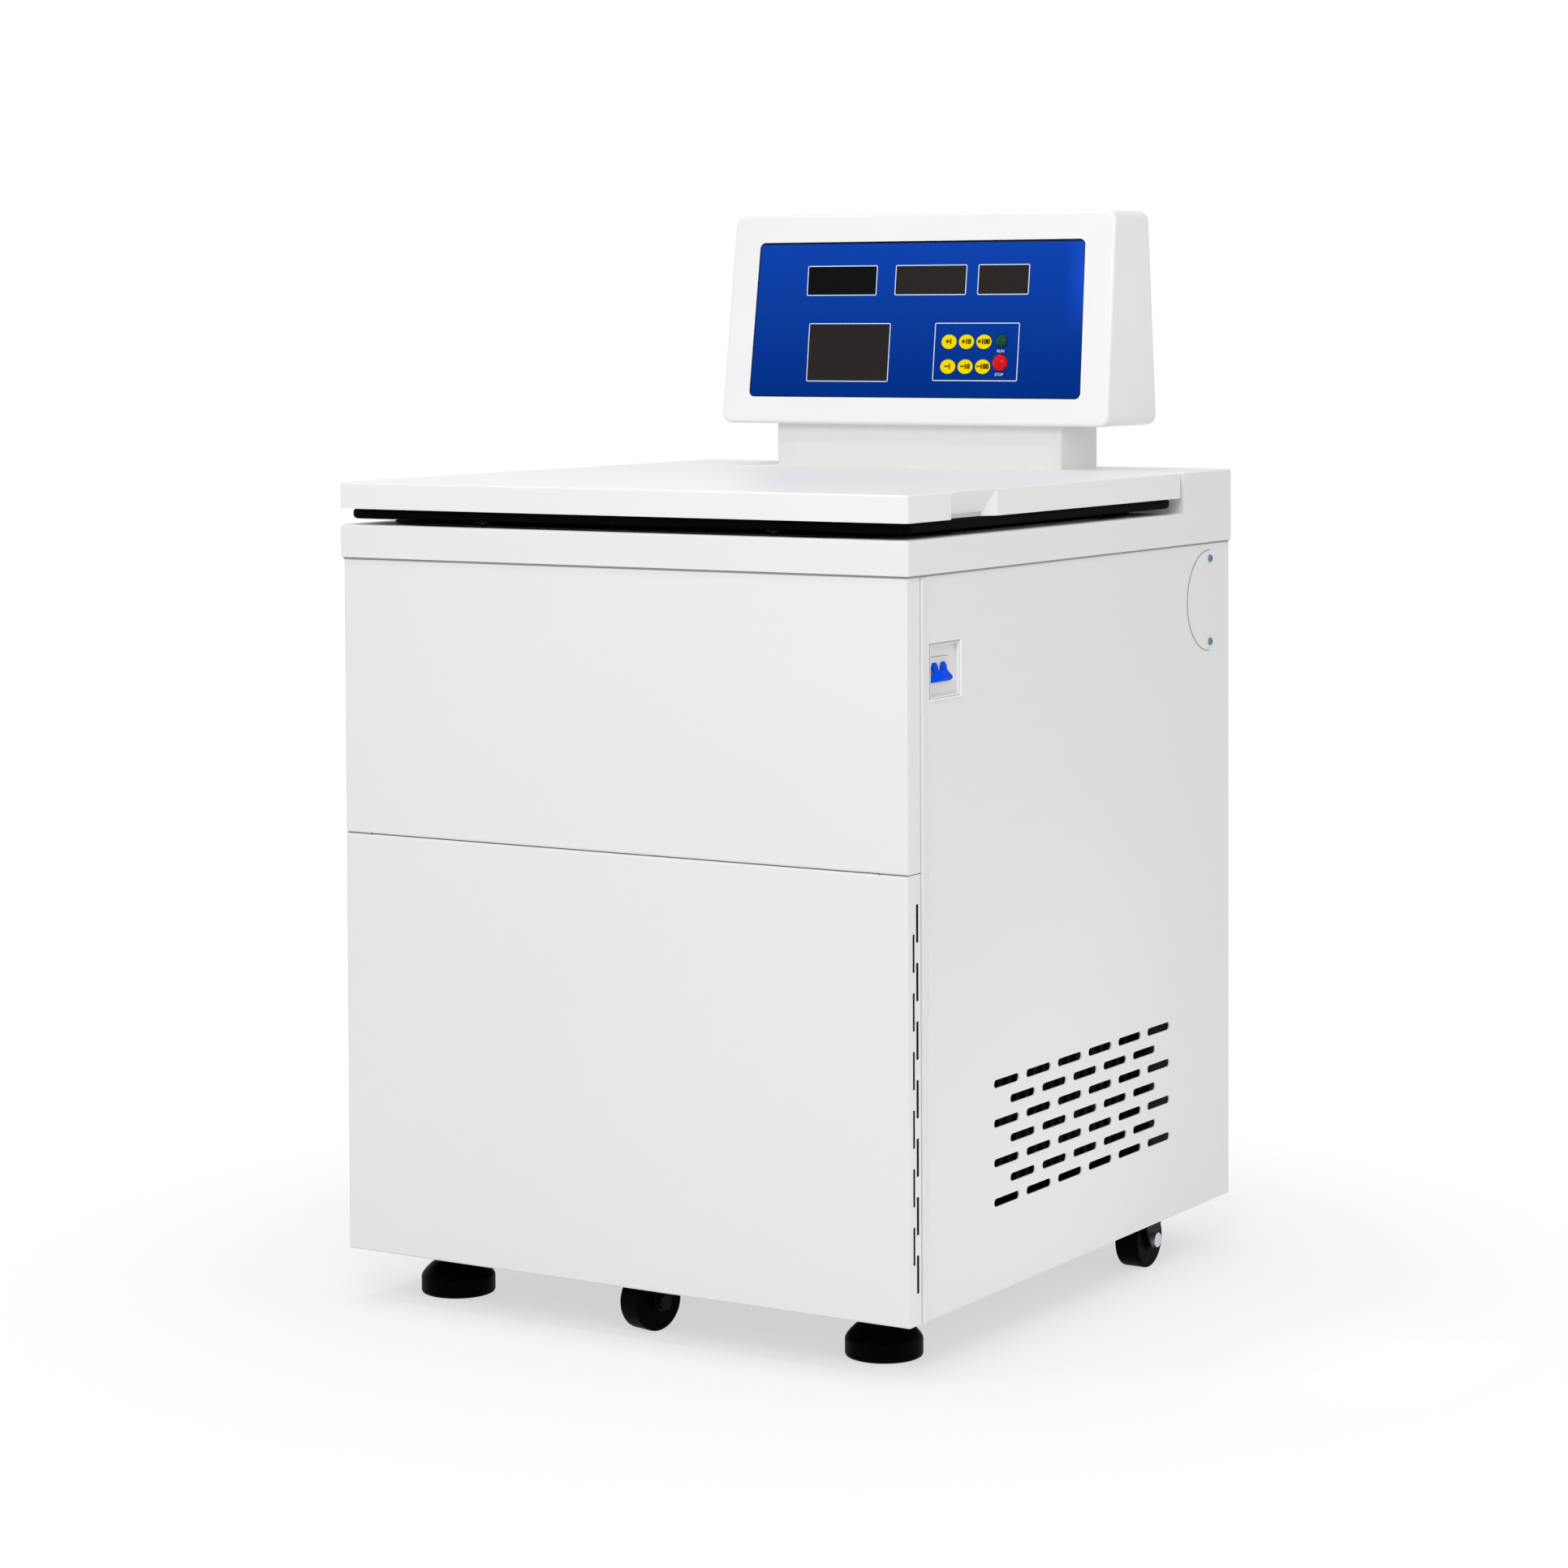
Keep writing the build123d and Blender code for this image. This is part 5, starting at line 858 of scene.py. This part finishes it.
# %% Lay the painted shadow strip
frame_foot = 0.7998
panel_half_width, panel_half_depth = 0.347, 0.366
shade_strip_height, shade_strip_reach, shade_strip_corner, shade_strip_width = 0.0020, 0.0006, 0.0012, 0.0005

# Painted shadow: a grey line under the frame's overhang.
shade_strip = plate(2 * (panel_half_width + shade_strip_reach), 2 * (panel_half_depth + shade_strip_reach))
round_corners(shade_strip_corner, 3)
open_middle(shade_strip_width)
thicken(shade_strip_height)
settle(shade_strip, "frame_painted_shadow", Matrix.Translation((0, 0, frame_foot - shade_strip_height)),
       "chassis_paint", "cabinet")
print("strip:", [round(v, 4) for v in shade_strip.dimensions])

# %% [markdown]
# ## The painted shadow round the hinge covers
#
# Each round hinge cover is sheet metal with a folded lip, and the lip's shadow draws a grey arc on
# the side panel. A thin grey ring of painted shadow gives that line. A disc is inset to a ring,
# cut off behind the cover's middle with bisect, and given a thickness of half a millimetre.

# %% Lay the painted shadow round the hinge covers
cover_low, cover_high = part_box("hinge_covers")
cover_middle_y, cover_middle_z, cover_radius = 0.316, 0.7345, 0.056
shadow_ring_reach, shadow_ring_width, shadow_ring_thickness = 0.0008, 0.00075, 0.0005

for side_name, side in sides.items():
    # Painted shadow: a thin grey half ring along the cover's lip.
    shadow_ring = disc(cover_radius + shadow_ring_reach, 96)
    open_middle(shadow_ring_width)
    bpy.ops.mesh.select_all(action="SELECT")
    bpy.ops.mesh.bisect(plane_co=(0, 0, 0), plane_no=(1, 0, 0), clear_outer=True)
    thicken(shadow_ring_thickness)
    place = on_side(side, panel_half_width + hair, cover_middle_y, cover_middle_z)
    settle(shadow_ring, f"cover_painted_shadow_{side_name}", place, "chassis_paint", "cabinet")
print("cover box:", [round(v, 4) for v in cover_low], [round(v, 4) for v in cover_high])

# %% [markdown]
# ## The screws of the hinge covers
#
# The solid model has plain round heads there. Real ones are zinc-plated pan heads with a cross
# recess. One screw is modelled: a cylinder whose outer rim is rounded, with a cross cut into it by
# a Boolean, and a thinner shank behind. Then it is copied to its four places.

# %% Model one screw and copy it
screw_finish = brushed("blue_zinc", (0.13, 0.25, 0.33), 0.3, (700, 700, 700))
head_radius, head_height, head_round = 0.0042, 0.0021, 0.0013
arm_length, arm_width, arm_depth = 0.0046, 0.0011, 0.0024
shank_radius, shank_length, shank_middle = 0.002, 0.005, -0.00255
cover_face = panel_half_width + 0.0008
screw_spread = 0.0467
screw_heights = {"low": cover_middle_z - screw_spread, "high": cover_middle_z + screw_spread}

screw = cylinder(head_radius, head_height, (0, 0, head_height / 2), 40)
pick(screw, lambda corner: corner.z > head_height / 2)
bevel_edges(head_round, 4)
for arm_size in ((arm_length, arm_width, arm_depth), (arm_width, arm_length, arm_depth)):
    half = Vector(arm_size) / 2
    top = Vector((0, 0, head_height))
    cut(screw, block(top - half, top + half))
shank = cylinder(shank_radius, shank_length, (0, 0, shank_middle), 24)

for side_name, side in sides.items():
    for height_name, height in screw_heights.items():
        place = on_side(side, cover_face, cover_middle_y, height)
        for part_name, pattern in (("head", screw), ("shank", shank)):
            copy = settle(copy_of(pattern), f"cover_screw_{part_name}_{side_name}_{height_name}",
                          place, "bright_steel", "cabinet", screw_finish)
            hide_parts("cover_screws")
bpy.data.objects.remove(screw)
bpy.data.objects.remove(shank)
print("cover screws copied")

# %% [markdown]
# ## The mat under the lid
#
# The top frame carries a black rubber mat under the lid, which seals the chamber and softens the
# lid's fall. Its black is partly painted shade, for the dark gap under the lid. It starts as a
# plane with rounded corners and is extruded to its thickness. A cylinder cuts the chamber's mouth
# out of it, and two blocks cut the holes for the lid's strikers.

# %% Lay the mat
mat_foot, mat_thickness, mat_corner = 0.83660, 0.0008, 0.1
mat_left, mat_right, mat_front, mat_back = -0.332, 0.332, -0.361, 0.225
mouth_middle_y, mouth_radius, mouth_depth = -0.065, 0.276, 0.01
striker_x, striker_y = 0.180, -0.337
hole_half = (0.006, 0.013, 0.004)

mat = plate(mat_right - mat_left, mat_back - mat_front,
            ((mat_left + mat_right) / 2, (mat_front + mat_back) / 2, mat_foot))
round_corners(mat_corner, 16)
thicken(mat_thickness)
cut(mat, cylinder(mouth_radius, mouth_depth, (0, mouth_middle_y, mat_foot), 160))
for side in (-1, 1):
    hole_middle = (side * striker_x, striker_y, mat_foot)
    cut(mat, block([middle - half for middle, half in zip(hole_middle, hole_half)],
                   [middle + half for middle, half in zip(hole_middle, hole_half)]))
# Partly painted shade: the mat's black darkens the gap under the lid.
settle(mat, "lid_mat", Matrix(), "seal_rubber", "cabinet")
print("mat:", [round(v, 4) for v in mat.dimensions])

# %% [markdown]
# ## Side joints, rolled edges and painted shade in the slits
#
# Between a front pan and a side panel is an open joint, and a dark strip in it is painted shade.
# The side panel's front edge is rolled a little outwards, which gives the pale line beside the
# joint. It is a block whose rear corners are drawn in and whose outer corner is rounded. The slits
# of the lower pan are covered with thin, dark patches of painted shade, a little wider than they
# are: one strip that an Array modifier repeats down each row.

# %% Fill the joints
panel_foot, panel_top = 0.0555, 0.7970
joint_inner, joint_outer = 0.3452, 0.3464
joint_front, joint_back = -0.3399, -0.3391
roll_gap, roll_back, roll_height = 0.0001, -0.3230, 0.0028
roll_round, roll_middle, crest_level = 0.0006, -0.33, 0.001
slit_pitch = 0.0583
shade_half_length, shade_rise = 0.0189, 0.00012
shade_half_widths = {"rear": 0.0021, "front": 0.0017}
slit_rows = {"rear": (-0.3470, 0.4557, 7), "front": (-0.3543, 0.4557 - slit_pitch / 2, 6)}


def on_crest(corner):
    """Whether a corner lies on the raised side of the roll."""
    return abs(corner.x) > panel_half_width + crest_level


for side_name, side in sides.items():
    # Painted shade: a dark strip stands in the joint's gap.
    joint_shade = side_block(side, joint_inner, joint_outer, joint_front, joint_back, panel_foot,
                       panel_top)
    settle(joint_shade, f"joint_painted_shade_{side_name}", Matrix(), "seal_rubber", "cabinet")
    for row_name, (row_y, top_z, count) in slit_rows.items():
        half_width = shade_half_widths[row_name]
        # Painted shade: dark patches over the slits, repeated down each row.
        slit_shade = side_block(side, panel_half_width + hair, panel_half_width + shade_rise,
                          row_y - half_width, row_y + half_width,
                          top_z - shade_half_length, top_z + shade_half_length)
        row = slit_shade.modifiers.new("row", "ARRAY")
        row.count = count
        row.use_relative_offset = False
        row.use_constant_offset = True
        row.constant_offset_displace = (0, 0, -slit_pitch)
        bpy.ops.object.modifier_apply(modifier="row")
        settle(slit_shade, f"slit_painted_shade_{row_name}_{side_name}", Matrix(), "seal_rubber", "cabinet")
    roll = side_block(side, panel_half_width + hair, panel_half_width + roll_height,
                      joint_back + roll_gap, roll_back, panel_foot, panel_top)
    pick(roll, lambda corner: on_crest(corner) and corner.y > roll_middle)
    bpy.ops.transform.translate(value=(side * (roll_gap - roll_height), 0, 0))
    pick(roll, on_crest)
    bevel_edges(roll_round, 3)
    settle(roll, f"panel_roll_{side_name}", Matrix(), "cabinet_white", "cabinet")
print("joints filled")

# %% [markdown]
# ## The rim of the breaker window
#
# The grey pan round the breaker has a white sleeve, a thin rectangular tube whose far and lower
# walls catch the light. Along its near and upper edges a dark bead of painted shade stands in the
# gap to the panel. Along its far and lower edges the panel has a narrow rim, a block whose corners
# next to the window are pressed down to make a ramp.

# %% Line the breaker window
window_middle = Vector((0, -0.290, 0.70275))
sleeve_half = Vector((0, 0.02946, 0.02621))
sleeve_wall = Vector((0, 0.0005, 0.0005))
sleeve_floor, sleeve_rim, sleeve_reach = 0.3450, 0.3472, 0.001
bead_low, bead_high, bead_width = 0.34702, 0.34715, 0.0009
rim_width, rim_rise, rim_edge = 0.0018, 0.0014, 0.0001
half_y, half_z = 0.0310, 0.02775


def window_block(low, high):
    """A block between two corners that are given from the window's middle."""
    return block(window_middle + Vector(low), window_middle + Vector(high))


def ramp_down(rim, by_the_window):
    """Presses down those upper corners of a rim that pass a test."""
    pick(rim, lambda corner: corner.x > bead_high and by_the_window(corner - window_middle))
    bpy.ops.transform.translate(value=(rim_edge - rim_rise, 0, 0))
    bpy.ops.object.mode_set(mode="OBJECT")


inner_half = sleeve_half - sleeve_wall
sleeve = block(window_middle - sleeve_half + Vector((sleeve_floor, 0, 0)),
               window_middle + sleeve_half + Vector((sleeve_rim, 0, 0)))
cut(sleeve, block(window_middle - inner_half + Vector((sleeve_floor - sleeve_reach, 0, 0)),
                  window_middle + inner_half + Vector((sleeve_rim + sleeve_reach, 0, 0))))
settle(sleeve, "window_sleeve", Matrix(), "cabinet_white", "cabinet", finishes["head_white"])

# Painted shade: two dark beads along the near and upper edges of the window.
near_shade_bead = window_block((bead_low, -half_y, -half_z), (bead_high, bead_width - half_y, half_z))
settle(near_shade_bead, "window_shade_near", Matrix(), "chassis_paint", "cabinet")
upper_shade_bead = window_block((bead_low, bead_width - half_y, half_z - bead_width),
                          (bead_high, half_y, half_z))
settle(upper_shade_bead, "window_shade_upper", Matrix(), "chassis_paint", "cabinet")

far_rim = window_block((bead_low, half_y, -half_z - rim_width),
                       (bead_low + rim_rise, half_y + rim_width, half_z))
ramp_down(far_rim, lambda corner: corner.y < half_y + rim_edge)
settle(far_rim, "window_rim_far", Matrix(), "cabinet_white", "cabinet", finishes["head_white"])
low_rim = window_block((bead_low, -half_y, -half_z - rim_width),
                       (bead_low + rim_rise, half_y - hair, -half_z))
ramp_down(low_rim, lambda corner: corner.z > -half_z - rim_edge)
settle(low_rim, "window_rim_low", Matrix(), "cabinet_white", "cabinet", finishes["head_white"])
print("window lined")

# %% [markdown]
# ## The breaker lever
#
# The lever is a flared grip on two round horns. The grip is what two prisms share: a bent slice
# seen from the side, and the flared outline seen from the front. The horns are bent strips that
# run up into the slots of the breaker, and a short neck joins each to the grip. All of it stands
# in for the solid lever and tilts with it.

# %% Model the lever
lever_pin = Vector((0.3344, -0.2955, 0.7026))
to_pin = Matrix.Translation(lever_pin)
from_side = to_pin @ Matrix(((1, 0, 0, 0), (0, 0, -1, 0), (0, 1, 0, 0), (0, 0, 0, 1)))
from_front = to_pin @ Matrix(((0, 0, 1, 0), (1, 0, 0, 0), (0, 1, 0, 0), (0, 0, 0, 1)))
grip_half_length, grip_inside, grip_reach = 0.0240, 0.0118, 0.020
horn_far, horn_near, horn_outside, horn_inside = 0.0124, 0.0047, 0.0114, 0.0092
horn_angles = range(-9, 64, 6)
neck_inset = 0.0001


def bent_slice(outer, inner):
    """The outline of a bent slice: a radius at each angle outside, then back along the inside."""
    return [(radius * math.cos(math.radians(angle)), radius * math.sin(math.radians(angle)))
            for angle, radius in outer + inner[::-1]]


grip_outer = [(-50, 0.0154), (-45, 0.0154), (-40, 0.0154), (-35, 0.0154), (-30, 0.0153),
              (-24, 0.0149), (-18, 0.0142), (-12, 0.0134), (-6, 0.0126), (-1, 0.0121)]
grip_inner = [(angle, grip_inside) for angle in range(-50, 0, 7)]
grip = flat_prism(bent_slice(grip_outer, grip_inner), -grip_half_length, grip_half_length,
                  from_side)
flare = [(0.0124, 0.0010), (0.0124, -0.0004), (0.0132, -0.0022), (0.0150, -0.0038),
         (0.0176, -0.0054), (0.0200, -0.0070), (0.0219, -0.0088), (0.0224, -0.0101),
         (0.0217, -0.0113), (0.0203, -0.0121)]
flare_outline = flare + [(-across, up) for across, up in flare[::-1]]
cut(grip, flat_prism(flare_outline, 0, grip_reach, from_front), "INTERSECT")
horn_outline = bent_slice([(angle, horn_outside) for angle in horn_angles],
                          [(angle, horn_inside) for angle in horn_angles])
neck_outline = bent_slice([(-9, 0.0126), (-1.5, 0.0120)], [(-9, 0.0110), (-1.5, 0.0110)])
for low, high in ((-horn_far, -horn_near), (horn_near, horn_far)):
    horn = flat_prism(horn_outline, low, high, from_side)
    cut(horn, flat_prism(neck_outline, low + neck_inset, high - neck_inset, from_side), "UNION")
    cut(grip, horn, "UNION")
settle(grip, "lever_grip", Matrix(), "lever_blue", "breaker_lever")
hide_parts("breaker_lever")
print("lever:", [round(v, 4) for v in grip.dimensions], len(grip.data.polygons))

# %% [markdown]
# ## The levelling feet
#
# A foot is a round pad with a sloping shoulder on a threaded stem. It is built ring by ring: a
# disc is extruded upwards again and again, and after each step the new ring is scaled to its
# radius. The second foot is a copy. Both stand in for the solid feet and go up and down with them.


# %% Turn the feet
def turned_piece(profile, segments):
    """A round piece built of rings, each given as a radius and a height."""
    radius, height = profile[0]
    piece = disc(radius, segments)
    for next_radius, next_height in profile[1:]:
        rise = next_height - height
        share = next_radius / radius
        bpy.ops.mesh.extrude_region_move(TRANSFORM_OT_translate={"value": (0, 0, rise)})
        bpy.ops.transform.resize(value=(share, share, 1))
        radius, height = next_radius, next_height
    turn_outwards()
    return piece


foot_profile = [(0.0372, 0), (0.0390, 0.0008), (0.0400, 0.0028), (0.0400, 0.0175),
                (0.0394, 0.0196), (0.0378, 0.0222), (0.0350, 0.0256), (0.0300, 0.0305),
                (0.0240, 0.0345), (0.0150, 0.0375), (0.0120, 0.0385), (0.0120, 0.0420),
                (0.0080, 0.0421), (0.0080, 0.1290), (0.0060, 0.1320)]
foot_pattern = turned_piece(foot_profile, 96)
for foot_name in ("foot_left", "foot_right"):
    foot_low, foot_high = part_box(foot_name)
    foot_place = Matrix.Translation(((foot_low[0] + foot_high[0]) / 2,
                                     (foot_low[1] + foot_high[1]) / 2, foot_low[2]))
    foot = settle(copy_of(foot_pattern), f"{foot_name}_pad", foot_place, "foot_black", foot_name)
    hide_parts(foot_name)
bpy.data.objects.remove(foot_pattern)
print("feet turned")
